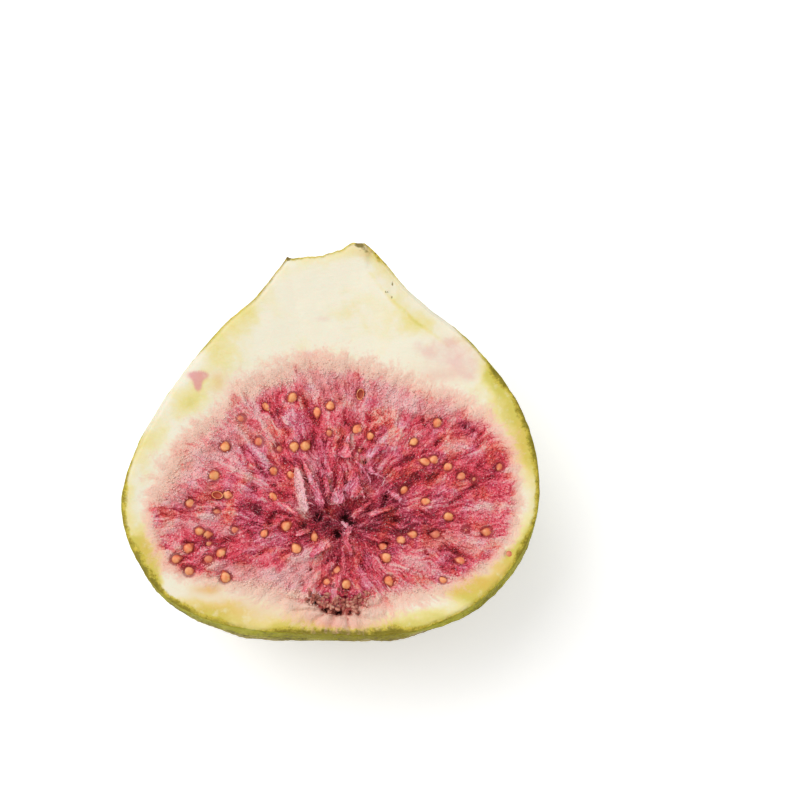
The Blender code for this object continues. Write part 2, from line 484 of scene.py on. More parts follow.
# The fields of each patch, without its height where it is round
PATCHES = {
    Tint.HAZE: [
        (255, 583, 44, 0.9, 15), (292, 577, 24, 0.7, 16), (245, 400, 26, 0.4, 18), (262, 432, 18, 0.5),
        (228, 438, 26, 0.6, 18), (205, 452, 28, 0.7, 18), (180, 486, 30, 0.75, 22),
        (250, 572, 34, 0.6, 9), (320, 374, 40, 0.5, 9), (390, 388, 30, 0.4, 12),
        (225, 412, 22, 0.5, 14), (435, 402, 30, 0.4, 10), (165, 530, 16, 0.2, 14),
        (312, 390, 12, 0.5, 12), (322, 372, 30, 0.5), (385, 390, 40, 0.6, 18), (440, 408, 40, 0.6, 16),
        (478, 424, 24, 0.5, 20), (476, 544, 20, 0.6, 14), (412, 558, 26, 0.3, 14),
        (430, 590, 50, 0.6, 12), (300, 495, 8, 0.7, 26), (315, 556, 22, 0.6, 14),
        (290, 605, 30, 0.8, 10), (395, 600, 34, 0.6, 12), (393, 437, 15, 0.45, 12),
        (461, 446, 18, 0.5, 9), (350, 406, 13, 0.5, 13), (482, 506, 16, 0.5, 8),
        (205, 515, 16, 0.35, 8), (215, 566, 16, 0.35, 8), (262, 386, 24, 0.7, 12),
        (296, 372, 26, 0.6, 9), (160, 508, 20, 0.4, 12), (440, 572, 20, 0.5, 8),
        (170, 532, 20, 0.4, 12), (312, 468, 9, 0.7, 26), (353, 456, 14, 0.45, 18),
        (370, 492, 10, 0.4, 10), (440, 542, 22, 0.55, 13), (228, 530, 15, 0.8, 8),
        (196, 524, 18, 0.5, 7), (270, 572, 14, 0.5, 8),
    ],
    Tint.DEEP: [
        (430, 470, 90, 0.22, 60), (432, 512, 24, 0.4, 8), (415, 418, 26, 0.35, 12),
        (425, 535, 50, 0.3, 14), (470, 560, 30, 0.3, 14), (338, 520, 34, 0.6, 24),
        (375, 515, 40, 0.6, 22), (395, 520, 60, 0.45, 26), (385, 540, 30, 0.5, 16),
        (300, 520, 30, 0.6), (340, 432, 30, 0.3), (300, 424, 34, 0.45), (340, 478, 24, 0.3, 20),
        (390, 478, 36, 0.5, 20), (465, 495, 36, 0.5, 22), (474, 428, 18, 0.5), (250, 510, 40, 0.3, 26),
        (262, 535, 30, 0.45, 18), (345, 570, 18, 0.65, 26), (205, 546, 30, 0.3, 20),
        (335, 601, 18, 0.4, 5), (500, 450, 24, 0.15, 30), (330, 386, 16, 0.6, 14),
        (374, 411, 12, 0.35), (370, 550, 13, 0.4),
    ],
    Tint.PEACH: [
        (438, 577, 26, 0.6, 9), (268, 380, 26, 0.7, 12), (262, 576, 34, 0.6, 12),
        (160, 490, 18, 0.2, 26), (340, 360, 60, 0.8, 10), (390, 370, 50, 0.8, 12),
        (450, 392, 44, 0.45, 14), (260, 378, 36, 0.6, 14), (205, 428, 24, 0.8, 18),
        (165, 466, 14, 0.5, 26), (205, 583, 40, 0.7, 10), (250, 596, 50, 0.8, 10),
        (485, 572, 30, 0.9, 12), (420, 598, 44, 0.8, 10), (320, 618, 46, 0.8, 10),
        (365, 608, 22, 0.6, 14), (300, 600, 26, 0.6, 14),
    ],
    Tint.BLUSH: [
        (450, 350, 30, 0.4, 16), (428, 347, 9, 0.25), (466, 362, 30, 0.3, 16), (196, 384, 4.5, 1.5, 7),
        (197, 376, 10, 1.6, 4), (322, 319, 10, 0.4, 4), (310, 352, 10, 0.7, 5), (335, 620, 34, 0.9, 9),
        (490, 610, 8, 0.3), (440, 374, 34, 0.35, 8),
    ],
    Tint.GREEN: [
        (250, 303, 13, 0.45, 18), (159, 425, 15, 0.7, 20), (143, 448, 12, 0.55, 20),
        (234, 325, 15, 0.45, 20), (217, 352, 16, 0.45, 20), (410, 308, 24, 0.45, 20),
        (505, 400, 20, 0.8, 30), (530, 450, 12, 0.7, 40), (210, 612, 44, 0.9, 10),
        (440, 620, 60, 0.8, 10), (290, 628, 60, 0.9, 9), (524, 548, 14, 0.8, 24),
        (144, 566, 16, 1.1, 28), (174, 588, 9, -1.0, 12), (408, 602, 24, -0.5, 6),
        (156, 562, 7, 0.9, 5), (138, 548, 14, 1.1, 20), (196, 382, 17, 0.7, 20),
        (515, 425, 9, 0.9, 30), (177, 403, 16, 0.75, 20), (422, 320, 16, 0.25, 8),
        (486, 588, 20, 1.3, 12), (508, 566, 14, 1.0, 16), (484, 586, 26, 0.5, 12),
        (466, 598, 30, 0.8, 10), (350, 325, 80, 0.25, 24), (356, 253, 18, 0.45, 8),
    ],
    Tint.GOLD: [
        (208, 589, 16, 1.0, 6), (205, 604, 34, 0.3, 9), (252, 606, 44, 0.3, 9), (300, 620, 60, 0.4, 9),
        (350, 625, 40, 0.5, 8), (455, 592, 20, 0.6, 6), (512, 556, 14, 0.25, 16),
        (500, 575, 20, 0.25, 18), (440, 373, 34, 0.18, 10), (524, 450, 10, 0.4, 36),
        (150, 552, 14, 0.5, 22), (216, 384, 8, 0.6, 12), (474, 588, 30, 0.2, 12),
        (328, 628, 7, 1.0, 6), (236, 612, 50, 0.25, 9), (505, 436, 12, 0.3, 28),
        (495, 567, 12, 0.4, 8), (478, 580, 15, 0.5, 7), (362, 250, 11, 0.4, 6),
    ],
    Tint.BARK: [
        (312, 630, 14, 0.34, 6), (352, 632, 12, 0.4, 6), (335, 609, 26, 0.7, 8), (362, 598, 9, 0.5, 6),
        (358, 244, 8, 0.9, 2.5), (363, 249, 9, 0.6, 5), (382, 275, 4, 0.3, 6), (288, 259, 4, 1.2, 3),
        (393, 282, 1.5, 1.1, 3.4), (387, 291, 3.2, 1.1, 1.5), (392, 297, 1.4, 1.1, 2.8),
        (236, 383, 2.2, 0.8), (345, 246, 8, 0.4, 3),
    ],
    Tint.SKIN: [
        (122, 495, 12, 0.5, 60), (140, 572, 14, 1.1, 26), (176, 606, 20, 0.8, 10),
        (216, 621, 26, 0.5, 8), (290, 634, 40, 0.75, 8), (386, 634, 34, 1.3, 11),
        (250, 632, 20, -0.5, 8), (316, 634, 20, 0.4, 9), (150, 592, 14, 0.9, 12),
        (150, 590, 12, 0.3, 12), (362, 632, 26, 0.5, 7), (425, 312, 40, -0.7, 40),
        (345, 637, 20, 0.8, 6), (455, 628, 26, 0.25, 8), (496, 604, 16, 0.6, 12),
        (529, 558, 13, 1.0, 26), (542, 500, 8, 0.35, 40), (536, 435, 12, 1.0, 40),
        (500, 378, 13, 1.1, 18), (522, 404, 12, 0.9, 16), (166, 400, 34, -0.85, 56),
        (290, 258, 8, 0.2, 4), (376, 258, 6, 0.25, 10),
    ],
    # Gaps in the hollow and the eye: dug into the mesh, and their near-black is painted shade
    Tint.VOID: [
        (317, 512, 6, 0.9, 7), (337, 530, 5, 1.0, 7), (303, 522, 6, 0.65, 5), (346, 512, 6, 0.9, 6),
        (352, 520, 5, 0.8, 2.5), (328, 519, 5, 0.6, 3), (370, 508, 6, 0.6, 4), (387, 497, 3, 0.9, 3),
        (365, 460, 3.2, 0.85, 2.4), (269, 522, 2.6, 0.9, 2.4), (331, 496, 3.5, 0.4, 5),
        (466, 426, 2.6, 0.55, 2.2), (415, 417, 3.5, 0.45, 4), (387, 542, 4.5, 0.55, 2.5),
        (384, 503, 2.5, 0.6, 3), (396, 519, 5, 0.4, 4), (313, 602, 4, 0.7, 2.2),
        (325, 609, 4, 0.75, 2.2), (338, 610, 4.2, 0.9, 3), (322, 597, 2.5, 0.7, 2),
        (345, 598, 3, 0.6, 2), (350, 611, 2.5, 0.7, 2.2), (358, 612, 2.6, 0.5, 2),
        (302, 582, 2.5, 0.5, 2.5), (310, 569, 3, 0.5, 1.6), (376, 440, 2.5, 0.5, 3),
        (346, 589, 6, 0.4, 1.6), (333, 586, 3, 0.5, 1.8),
    ],
    Tint.CRISP: [
        (515, 500, 26, 1.0, 50), (484, 570, 36, 1.0, 18), (148, 524, 22, 1.0, 34),
    ],
}


@dataclass(frozen=True)
class Streak:
    """A pale ridge or a dark furrow of the pulp, between two pixels of the photograph."""

    x: float
    y: float
    end_x: float
    end_y: float
    width: float
    # A furrow is dug into the mesh and darkened in colour, partly darker pulp, partly painted shade
    pale: float = -0.5         # a furrow where negative
    ragged: float = 2.2        # pixels that its outline strays

    def weigh(self, pixels: Array, wobble: Array) -> Array:
        """How strong the streak is at some pixels.

        Args:
            pixels: Pixels of the photograph, one in a row.
            wobble: Smooth noise that makes its outline ragged, one row of two for each pixel.

        Returns:
            The strength at each of them.
        """
        away = pixels + wobble * self.ragged - (self.x, self.y)
        run = np.array([self.end_x - self.x, self.end_y - self.y])
        share = np.clip(away @ run / (run @ run), 0, 1)
        gap = np.linalg.norm(away - share[:, None] * run, axis=1)
        return self.pale * bell(gap, self.width * (1.1 - 0.5 * abs(2 * share - 1)))


# The fields of each streak, without its paleness where it is a common furrow
STREAKS = [
    (242, 394, 262, 424, 3, 0.55), (236, 428, 268, 466, 3.4, 0.6), (262, 424, 275, 438, 4, 0.4),
    (227, 453, 250, 475, 4.5, 0.4), (287, 413, 294, 431, 4, 0.45), (310, 382, 316, 400, 5, 0.5),
    (343, 424, 351, 441, 3.4, 0.45), (374, 374, 384, 384, 6, 0.3), (400, 416, 404, 434, 5, 0.4),
    (420, 450, 433, 441, 3, 0.55), (452, 443, 470, 449, 4.5, 0.45), (470, 457, 484, 449, 3.5, 0.4),
    (437, 479, 448, 478, 4.5, 0.4), (436, 490, 456, 489, 3, 0.35), (430, 508, 474, 498, 2.6, 0.4),
    (475, 507, 488, 504, 4.5, 0.4), (381, 480, 391, 473, 1.6, 0.5), (404, 405, 420, 411, 4, 0.35),
    (306, 560, 325, 544, 5, 0.55), (342, 530, 350, 541, 3.6, 0.45), (357, 524, 384, 515, 1.8, 0.5),
    (353, 548, 364, 552, 2.4, 0.4), (402, 554, 426, 562, 6, 0.35), (471, 539, 487, 552, 6, 0.4),
    (196, 515, 206, 516, 4, 0.45), (219, 535, 228, 531, 4, 0.5), (193, 552, 204, 549, 3, 0.45),
    (211, 568, 228, 561, 4, 0.45), (261, 499, 270, 507, 4, 0.45), (278, 502, 291, 510, 2.4, 0.45),
    (244, 485, 248, 491, 3, 0.4), (296, 505, 304, 517, 3, 0.4), (369, 455, 386, 445, 4, 0.4),
    (330, 545, 342, 536, 2, 0.35), (243, 389, 254, 407, 1.8), (257, 464, 268, 474, 2.4, -0.7),
    (238, 443, 249, 461, 2, -0.45), (277, 409, 287, 434, 1.8, -0.5), (319, 384, 325, 395, 3, -0.6),
    (304, 400, 319, 424, 3, -0.35), (302, 465, 309, 483, 1.6, -0.8), (284, 457, 298, 467, 2.2, -0.6),
    (319, 461, 326, 470, 2.6, -0.4), (250, 478, 256, 494, 2.4), (273, 481, 277, 488, 2, -0.6),
    (343, 409, 345, 422, 2.4), (344, 423, 354, 421, 1.6, -0.6), (366, 411, 370, 420, 2.4, -0.6),
    (369, 420, 383, 411, 1.8), (331, 446, 342, 437, 1.8, -0.7), (324, 441, 335, 432, 2.4),
    (400, 459, 413, 455, 2.6, -0.6), (425, 413, 426, 424, 1.4, -0.4), (399, 425, 402, 413, 1.2, -0.4),
    (435, 445, 443, 438, 2.2, -0.6), (401, 465, 412, 455, 2.4, -0.5), (472, 430, 481, 434, 2.4, -0.45),
    (428, 477, 436, 475, 2.4, -0.45), (413, 474, 420, 477, 2.4, -0.45), (450, 504, 476, 485, 2, -0.6),
    (476, 485, 495, 471, 1.8, -0.4), (477, 467, 486, 456, 2.6, -0.45),
    (394, 518, 418, 524, 3.2, -0.45), (363, 527, 380, 530, 3, -0.6), (368, 539, 379, 546, 3.4),
    (326, 561, 334, 553, 2.6, -0.8), (336, 562, 341, 556, 3, -0.4), (361, 562, 368, 572, 3),
    (408, 570, 412, 567, 3, -0.5), (424, 549, 428, 554, 1.6, -0.6), (452, 552, 460, 554, 2.6, -0.5),
    (451, 557, 456, 563, 2, -0.5), (155, 517, 173, 517, 2.6, -0.6), (173, 517, 186, 520, 2, -0.3),
    (268, 515, 275, 509, 2, -0.8), (275, 509, 290, 513, 2, -0.7), (238, 528, 254, 532, 3, -0.45),
    (256, 510, 261, 515, 2.4), (203, 541, 211, 549, 2.2, -0.4), (181, 542, 193, 541, 1.8, -0.6),
    (227, 537, 242, 544, 3.4, -0.3), (243, 563, 250, 559, 2.6, -0.5), (259, 551, 266, 548, 2),
    (280, 551, 291, 552, 2.6, -0.4), (271, 485, 276, 481, 2), (296, 459, 305, 464, 1.8, -0.6),
    (317, 469, 326, 492, 1.6), (390, 535, 405, 531, 2.6, -0.3), (429, 530, 443, 531, 1.6, -0.5),
    (480, 530, 483, 536, 2, -0.5), (325, 500, 329, 511, 1.8), (312, 527, 331, 522, 2.4, -0.4),
    (284, 590, 308, 600, 5, 0.5), (286, 604, 312, 609, 5, 0.5), (299, 620, 319, 613, 5, 0.5),
    (322, 629, 328, 615, 5, 0.5), (343, 628, 341, 618, 5.5, 0.7), (357, 624, 353, 616, 4, 0.6),
    (382, 613, 362, 611, 5, 0.5), (382, 597, 366, 602, 4.5, 0.4), (288, 597, 311, 605, 1.8, -0.6),
    (294, 613, 316, 611, 1.8, -0.5), (312, 624, 323, 614, 1.6, -0.5), (333, 630, 334, 616, 1.5, -0.5),
    (350, 628, 347, 616, 1.5, -0.5), (368, 619, 357, 613, 1.6, -0.5), (380, 605, 366, 606, 1.6, -0.5),
    (310, 600, 326, 610, 2, -0.7), (326, 610, 352, 613, 2, -0.7),
]


def patchwork(tint: Tint, pixels: Array, wobble: Array) -> Array:
    """All patches of one tint together at some pixels, from -1 to 1."""
    return np.clip(sum(Patch(*row).weigh(pixels, wobble) for row in PATCHES[tint]), -1.0, 1.0)


@dataclass
class FigBody:
    """Flesh and skin of the half, one closed mesh: the cut face above and the round back below."""

    outline: Outline
    disc: SquareDisc = field(default_factory=SquareDisc)
    hollow: Pair = (0.8, -9.6)
    deepest: Pair = (0.0, -5.0)
    depth: float = 21.0           # from the rim of the cut face down to the ground
    roundness: float = 0.94       # depth of the back against its half width
    overhang: float = math.radians(10)       # how far past its widest line the fruit was cut
    stem_overhang: float = math.radians(2)
    stem_start: float = 10.0      # the stem's overhang takes over from here
    stem_end: float = 20.0        # to here
    steepest: float = 30.0        # limits how blunt the two ends of the back are
    limit_power: int = 8          # how suddenly that limit sets in
    rim_share: float = 0.985      # past this share of the way to the rim the fullness stays
    widest_across: float = 0.999  # keeps the fullness off zero on the flanks
    ridges: int = 9               # soft lengthwise ridges under the skin
    ridge_phase: float = 0.6
    ridge_height: float = 0.012   # of the half width
    ripple: float = 0.42          # height of the skin's broad lengthwise waves
    ripple_waves: Pair = (7.0, 0.07)         # how many in a radian round it and in a millimetre
    wrinkle: float = 0.13         # of the finer ones
    wrinkle_waves: Pair = (19.0, 0.16)
    core: float = 4.0             # how far over the rim the middle of all these waves is
    stem_wrinkle: float = 0.1     # what those gain at the stem
    crease: float = 0.13          # depth of the creases between swellings
    net: float = 0.05             # of the fine net of lines
    grain: float = 0.03
    rim_curl: float = 0.4
    curl_width: float = 23.0      # from the middle to where that curl is reached
    curl_power: int = 4           # how soon the curl fades down the back
    girth: Point = (23.6, 22.0, 21.0)        # half of the fruit's size along each axis
    waist: float = -3.0           # y of the middle of that round body
    pulp_steps: int = 720         # of the pulp's edge
    pulp_ridge: float = 0.42      # height of the ridges in the pulp
    pulp_grain: float = 0.07
    pulp_sink: float = 0.12       # of all the pulp under the flesh round it
    funnel: float = 1.3           # depth of the torn middle
    funnel_width: float = 2.8
    gap_depth: float = 1.7        # of the near-black gaps
    streak: float = 0.4           # height of the streaks
    pulp_dip: float = 0.9
    pulp_power: int = 3           # how near the rim the dip begins
    swell: float = 0.07           # height of the flesh's soft swellings
    bark_swell: float = 0.12      # and of the dried tissue's
    rim_round: float = 0.16
    rim_width: float = 0.45       # of the rounded rim
    rim_power: int = 40           # how near the rim the face bends up or down to meet it
    bevel_width: float = 2.1      # of the strip by the right flank that slopes away
    bevel_drop: float = 0.55
    bevel_end: float = 0.13       # share of the way round the outline
    seed_pit: float = 0.3
    seed_radius: float = 0.6
    seed_depth: float = 0.5       # of the seeds under the rim
    bed_edge: float = -1.2        # how far outside the pulp's edge threads may still grow

    def __post_init__(self) -> None:
        """Lays out the pulp's edge as a distance from the hollow in each direction."""
        self.centre = np.array(self.hollow)
        line = smooth_line(VIEW.on_plane(PULP_EDGE, self.depth), self.pulp_steps, closed=True)
        away = line - self.centre
        angle = np.arctan2(away[:, 1], away[:, 0])
        order = np.argsort(angle)
        self.pulp_angles = angle[order]
        self.pulp_reach = np.linalg.norm(away, axis=1)[order]
        self.seeds = VIEW.on_plane([(s.x, s.y) for s in SEEDS], self.depth - self.seed_depth)

    def curl(self, x: Array) -> Array:
        """How far the dried face curled up at a distance from its middle line."""
        return self.rim_curl * (x / self.curl_width) ** 2

    def smooth_back(self, share: Array, turn: Array) -> Array:
        """The round back before any wrinkle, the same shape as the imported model's.

        Args:
            share: 1 at the rim of the face, 0 at the deepest point.
            turn: How far round the outline, from 0 to 1.

        Returns:
            Places in millimetres, one in a row.
        """
        edge = self.outline.edge(turn)
        deepest = np.array(self.deepest)
        stem = np.clip((edge[:, 1] - self.stem_start) / (self.stem_end - self.stem_start), 0, 1)
        overhang = self.overhang + (self.stem_overhang - self.overhang) * stem
        angle = -overhang + (math.pi / 2 + overhang) * (1 - share)
        reach = np.cos(angle)
        judged_reach = np.minimum(reach, self.rim_share)
        judged = deepest + (edge - deepest) * judged_reach[:, None]
        middle, half = self.outline.span(judged[:, 1])
        across = np.clip((judged[:, 0] - middle) / half, -self.widest_across, self.widest_across)
        lean = np.arcsin(across)
        ridge = 1 + self.ridge_height * np.cos(self.ridges * lean + self.ridge_phase)
        full = half * np.cos(lean) * ridge / np.sqrt(1 - judged_reach**2)
        power = self.limit_power
        full = (full**-power + self.steepest**-power) ** (-1 / power)
        drop = (np.sin(angle) + np.sin(overhang)) / (1 + np.sin(overhang))
        at = deepest + (edge - deepest) * reach[:, None]
        curl = self.curl(at[:, 0]) * share**self.curl_power
        return np.column_stack([at, self.depth + curl - self.roundness * full * drop])

    def skin_relief(self, points: Array) -> Array:
        """How far the skin stands out or in from the smooth back: ridges, wrinkles and grain.

        Args:
            points: Places on the smooth back.

        Returns:
            Heights in millimetres.
        """
        middle, half = self.outline.span(points[:, 1])
        lean = np.arctan2(points[:, 0] - middle, self.depth + self.core - points[:, 2])
        laid_out = np.column_stack([lean, points[:, 1]])
        wrinkle = self.wrinkle + self.stem_wrinkle * ease(points[:, 1], 8, 21)
        relief = self.ripple * Grain(1).at(spatial(laid_out * self.ripple_waves))
        relief += wrinkle * Grain(2).at(spatial(laid_out * self.wrinkle_waves))
        creases = 1 - 2 * abs(Grain(3).layered(points * 0.32, 3))
        net = 1 - 2 * abs(Grain(4).layered(points * (1.25, 0.8, 1.25), 2))
        relief += -self.crease * creases - self.net * net + self.grain * Grain(5).at(points * 3.1)
        return relief * (0.6 + 0.4 * ease(half, 3, 12)) * (1 - 0.6 * ease(points[:, 2], 16, 21))

    def back(self, share: Array, turn: Array) -> Array:
        """The wrinkled back, flat where it lay on the tray.

        Args:
            share: 1 at the rim of the face, 0 at the deepest point.
            turn: How far round the outline, from 0 to 1.

        Returns:
            Places in millimetres, one in a row.
        """
        smooth = self.smooth_back(share, turn)
        outward = (smooth - np.array([0, self.waist, self.depth])) / np.array(self.girth) ** 2
        outward[:, 2] -= 0.25 / self.depth * (1 - share)
        outward[:, 2] *= ease(share, 1.0, 0.9)
        outward /= np.linalg.norm(outward, axis=1)[:, None]
        points = smooth + outward * self.skin_relief(smooth)[:, None]
        points[:, 2] = np.maximum(points[:, 2], 0.0)
        return points

    def pulp_depth(self, at: Array) -> Array:
        """How far inside the pulp's edge places are, towards the hollow.

        Args:
            at: Places on the cut face.

        Returns:
            The distances, negative outside the pulp.
        """
        away = at - self.centre
        angle = np.arctan2(away[:, 1], away[:, 0])
        reach = np.interp(angle, self.pulp_angles, self.pulp_reach, period=2 * math.pi)
        return reach - np.linalg.norm(away, axis=1)

    def streaks(self, at: Array, turns: float, length: float, seed: int) -> Array:
        """Values that run in streaks towards the hollow.

        Args:
            at: Places on the cut face.
            turns: How many streaks fit in a radian.
            length: How long a streak is, in millimetres.
            seed: Which of the possible patterns this is.

        Returns:
            Values from -1 to 1.
        """
        wander = np.column_stack([Grain(seed + k).at(spatial(at * 0.3)) for k in (50, 51)])
        away = at - self.centre + wander * 1.3
        reach = np.linalg.norm(away, axis=1)
        aim = away / np.maximum(reach, 0.05)[:, None]
        return Grain(seed).at(np.column_stack([aim * turns, reach / length]))

    def seed_gap(self, at: Array) -> Array:
        """Distance to the nearest seed, as a share of that seed's own radius."""
        number, gap = Nearby(self.seeds).find(at)
        return gap / (self.seed_radius * np.array([seed.size for seed in SEEDS])[number])

    def pulp_ridges(self, at: Array) -> Array:
        """How high the pulp's ridges stand, from -1 to 1; they run towards the hollow."""
        ridges = self.streaks(at, 9, 4.2, 11) + 0.7 * self.streaks(at, 21, 2.4, 12)
        return 0.62 * (ridges + 0.6 * Grain(13).layered(spatial(at) * 0.9, 2))

    def pulp_relief(self, at: Array, inside: Array, void: Array) -> Array:
        """Heights of the pulp: ridges, grain, the torn hollow.

        Args:
            at: Places on the cut face.
            inside: How far inside the pulp's edge each is.
            void: How much of each place is a gap in the hollow.

        Returns:
            Heights in millimetres.
        """
        away = np.linalg.norm(at - self.centre, axis=1)
        ridges = self.pulp_ridges(at)
        grain = self.pulp_grain * Grain(14).at(spatial(at) * 3.3)
        body = self.pulp_ridge * ridges + grain - self.pulp_sink
        funnel = self.funnel * bell(away, self.funnel_width) * (1 + 0.8 * ridges)
        return body * ease(inside, -0.3, 2.8) - funnel - self.gap_depth * void

    def face(self, share: Array, turn: Array, rim: Array) -> tuple[Array, dict[str, Array]]:
        """The cut face and what the finishes need to know of it.

        Args:
            share: 1 at the rim, 0 in the hollow.
            turn: How far round the rim, from 0 to 1.
            rim: The rim's places, one in a row, at even turns.

        Returns:
            The places, and a dict of named values with one value for each place.
        """
        edge = follow(rim, turn)
        at = self.centre + (edge[:, :2] - self.centre) * share[:, None]
        inside = self.pulp_depth(at)
        _, gap = Nearby(rim[:, :2]).find(at)
        level = self.depth + self.curl(at[:, 0])
        pixels = VIEW.pixels(np.column_stack([at, level]))
        flat = spatial(at)
        wobble = np.column_stack([Grain(seed).layered(flat * 0.45, 4) for seed in (31, 32)])
        tints = {tint.value: patchwork(tint, pixels, wobble) for tint in Tint}
        pale = sum(Streak(*row).weigh(pixels, wobble) for row in STREAKS)
        inside = inside * (1 + tints["crisp"])
        seed_gap = self.seed_gap(at)
        height = level - self.pulp_dip * (1 - share**self.pulp_power)
        height += self.pulp_relief(at, inside, tints["void"])
        height += self.streak * np.clip(pale, -1, 1) - self.seed_pit * bell(seed_gap, 0.95)
        height += self.swell * Grain(21).layered(flat * 0.25, 2) * ease(inside, 1, -1)
        height += self.bark_swell * tints["bark"] * Grain(22).layered(flat * 1.6, 2)
        bevel = ease(turn, self.bevel_end, self.bevel_end - 0.04) * ease(turn, 0.0, 0.008)
        height -= bevel * self.bevel_drop * np.clip(1 - gap / self.bevel_width, 0, 1)
        height += (edge[:, 2] - self.depth - self.curl(edge[:, 0])) * share**self.rim_power
        height -= self.rim_round * ease(gap, self.rim_width, 0.0) * (share < 1)
        height = np.where(share < 1, height, edge[:, 2])
        # socket is the distance to the nearest seed; the flesh's finish paints shade round each seed
        # by it
        values = {
            **tints, "inside": inside, "gap": gap, "socket": seed_gap, "bevel": bevel,
            "ridge": self.pulp_ridges(at), "pale": pale * 0.56, "cool": np.clip(pale, 0, 1) * 0.4,
        }
        return np.column_stack([at, height]), values

    def bake_map(self, mesh: bpy.types.Mesh) -> None:
        """Gives the mesh a map in which the face fills the left half and the back the right.

        Args:
            mesh: The body's mesh; its first cells are the face's.
        """
        side = 2 * self.disc.rings
        margin = 0.004
        row, column = np.divmod(np.arange(len(self.disc.quads))[:, None], side)
        u = margin + (column + [0, 0, 1, 1]) / side * (0.5 - 2 * margin)
        v = margin + (row + [0, 1, 1, 0]) / side * (1 - 2 * margin)
        face = np.stack([u, v], axis=2)
        back = np.stack([u + 0.5, v], axis=2)[:, ::-1]
        layer = mesh.uv_layers.new(name="OFBake")
        layer.data.foreach_set("uv", np.concatenate([face, back]).ravel().astype(np.float32))

    def build(self) -> Object:
        """Makes the body's mesh with its finishes.

        Returns:
            The object of the flesh and skin.
        """
        disc = self.disc
        ring_turns = np.arange(8 * disc.rings) / (8 * disc.rings)
        rim = self.back(np.ones_like(ring_turns), ring_turns)
        rim[:, 2] -= self.rim_round
        top, values = self.face(disc.share, disc.turn, rim)
        self.top = top
        self.top_places = Nearby(top[:, :2])
        below = self.back(disc.share, disc.turn)
        count = len(top)
        lower = np.arange(count) + count
        lower[disc.rim] = disc.rim
        lower_quads = lower[disc.quads][:, ::-1]
        kept = np.setdiff1d(np.arange(2 * count), disc.rim + count)
        renumber = np.full(2 * count, -1)
        renumber[kept] = np.arange(len(kept))
        unseen = dict.fromkeys(values, np.zeros(count))
        unseen[Tint.SKIN.value] = patchwork(Tint.SKIN, VIEW.pixels(below), np.zeros((count, 2)))
        whole = Shape(
            np.vstack([top, below])[kept],
            renumber[np.vstack([disc.quads, lower_quads])].tolist(),
            {name: np.concatenate([values[name], unseen[name]])[kept] for name in values},
        )
        made = whole.make("fig_flesh_and_skin", FleshFinish().build())
        made.data.materials.append(SkinFinish().build())
        slots = np.repeat([0, 1], len(disc.quads)).astype(np.int32)
        made.data.polygons.foreach_set("material_index", slots)
        self.bake_map(made.data)
        return made

    def height_at(self, at: Array) -> Array:
        """Heights of the finished face at some places, read from its nearest points."""
        return self.top[self.top_places.find(at)[0], 2]

    def bed(self, body: Object, petals: Shape) -> Object:
        """A copy of the pulp's part of the face and the petals, for threads to grow on.

        Args:
            body: The finished body.
            petals: The petals' shape.

        Returns:
            An object to take away again once the threads have grown.
        """
        mesh = body.data
        inside = np.zeros(len(mesh.vertices), np.float32)
        mesh.attributes["inside"].data.foreach_get("value", inside)
        face = inside[self.disc.quads].min(axis=1) > self.bed_edge
        places = np.zeros(len(mesh.vertices) * 3, np.float32)
        mesh.vertices.foreach_get("co", places)
        ground = Shape(places.reshape(-1, 3) / MM, self.disc.quads[face].tolist())
        for name in [*(t.value for t in Tint), *petals.values]:
            numbers = np.zeros(len(mesh.vertices), np.float32)
            if name in mesh.attributes:
                mesh.attributes[name].data.foreach_get("value", numbers)
            ground.values[name] = numbers
            petals.values.setdefault(name, np.zeros(len(petals.points)))
        return Shape.joined([ground, petals]).make("pulp_bed")


class Wire:
    """A socket's value in an expression; each operator adds the node that works it out."""

    def __init__(self, graph: Graph, socket: bpy.types.NodeSocket) -> None:
        """Wraps an output socket of a graph."""
        self.graph = graph
        self.socket = socket

    @staticmethod
    def math(operation: str, turned: bool = False) -> Callable[..., Wire]:
        """A method that adds one Math node.

        Args:
            operation: The node's operation.
            turned: Whether the method's own value comes second.

        Returns:
            The method.
        """
        def method(self: Wire, other: Value = 0.0) -> Wire:
            """Adds the node."""
            pair = (other, self) if turned else (self, other)
            return self.graph.node("ShaderNodeMath", {"operation": operation}, dict(enumerate(pair)))

        return method

    __add__ = math("ADD")
    __radd__ = math("ADD", turned=True)
    __sub__ = math("SUBTRACT")
    __rsub__ = math("SUBTRACT", turned=True)
    __mul__ = math("MULTIPLY")
    __rmul__ = math("MULTIPLY", turned=True)
    __truediv__ = math("DIVIDE")
    __rtruediv__ = math("DIVIDE", turned=True)
    __pow__ = math("POWER")
    size = math("ABSOLUTE")

    def ease(self, low: Value, high: Value) -> Wire:
        """A smooth step from 0 at low to 1 at high, which may be the smaller of the two."""
        values = {"Value": self, "From Min": low, "From Max": high}
        return self.graph.node("ShaderNodeMapRange", {"interpolation_type": "SMOOTHSTEP"}, values)


Value = Wire | float
Looks = tuple[Wire, Value, Wire]    # colour, roughness and normal


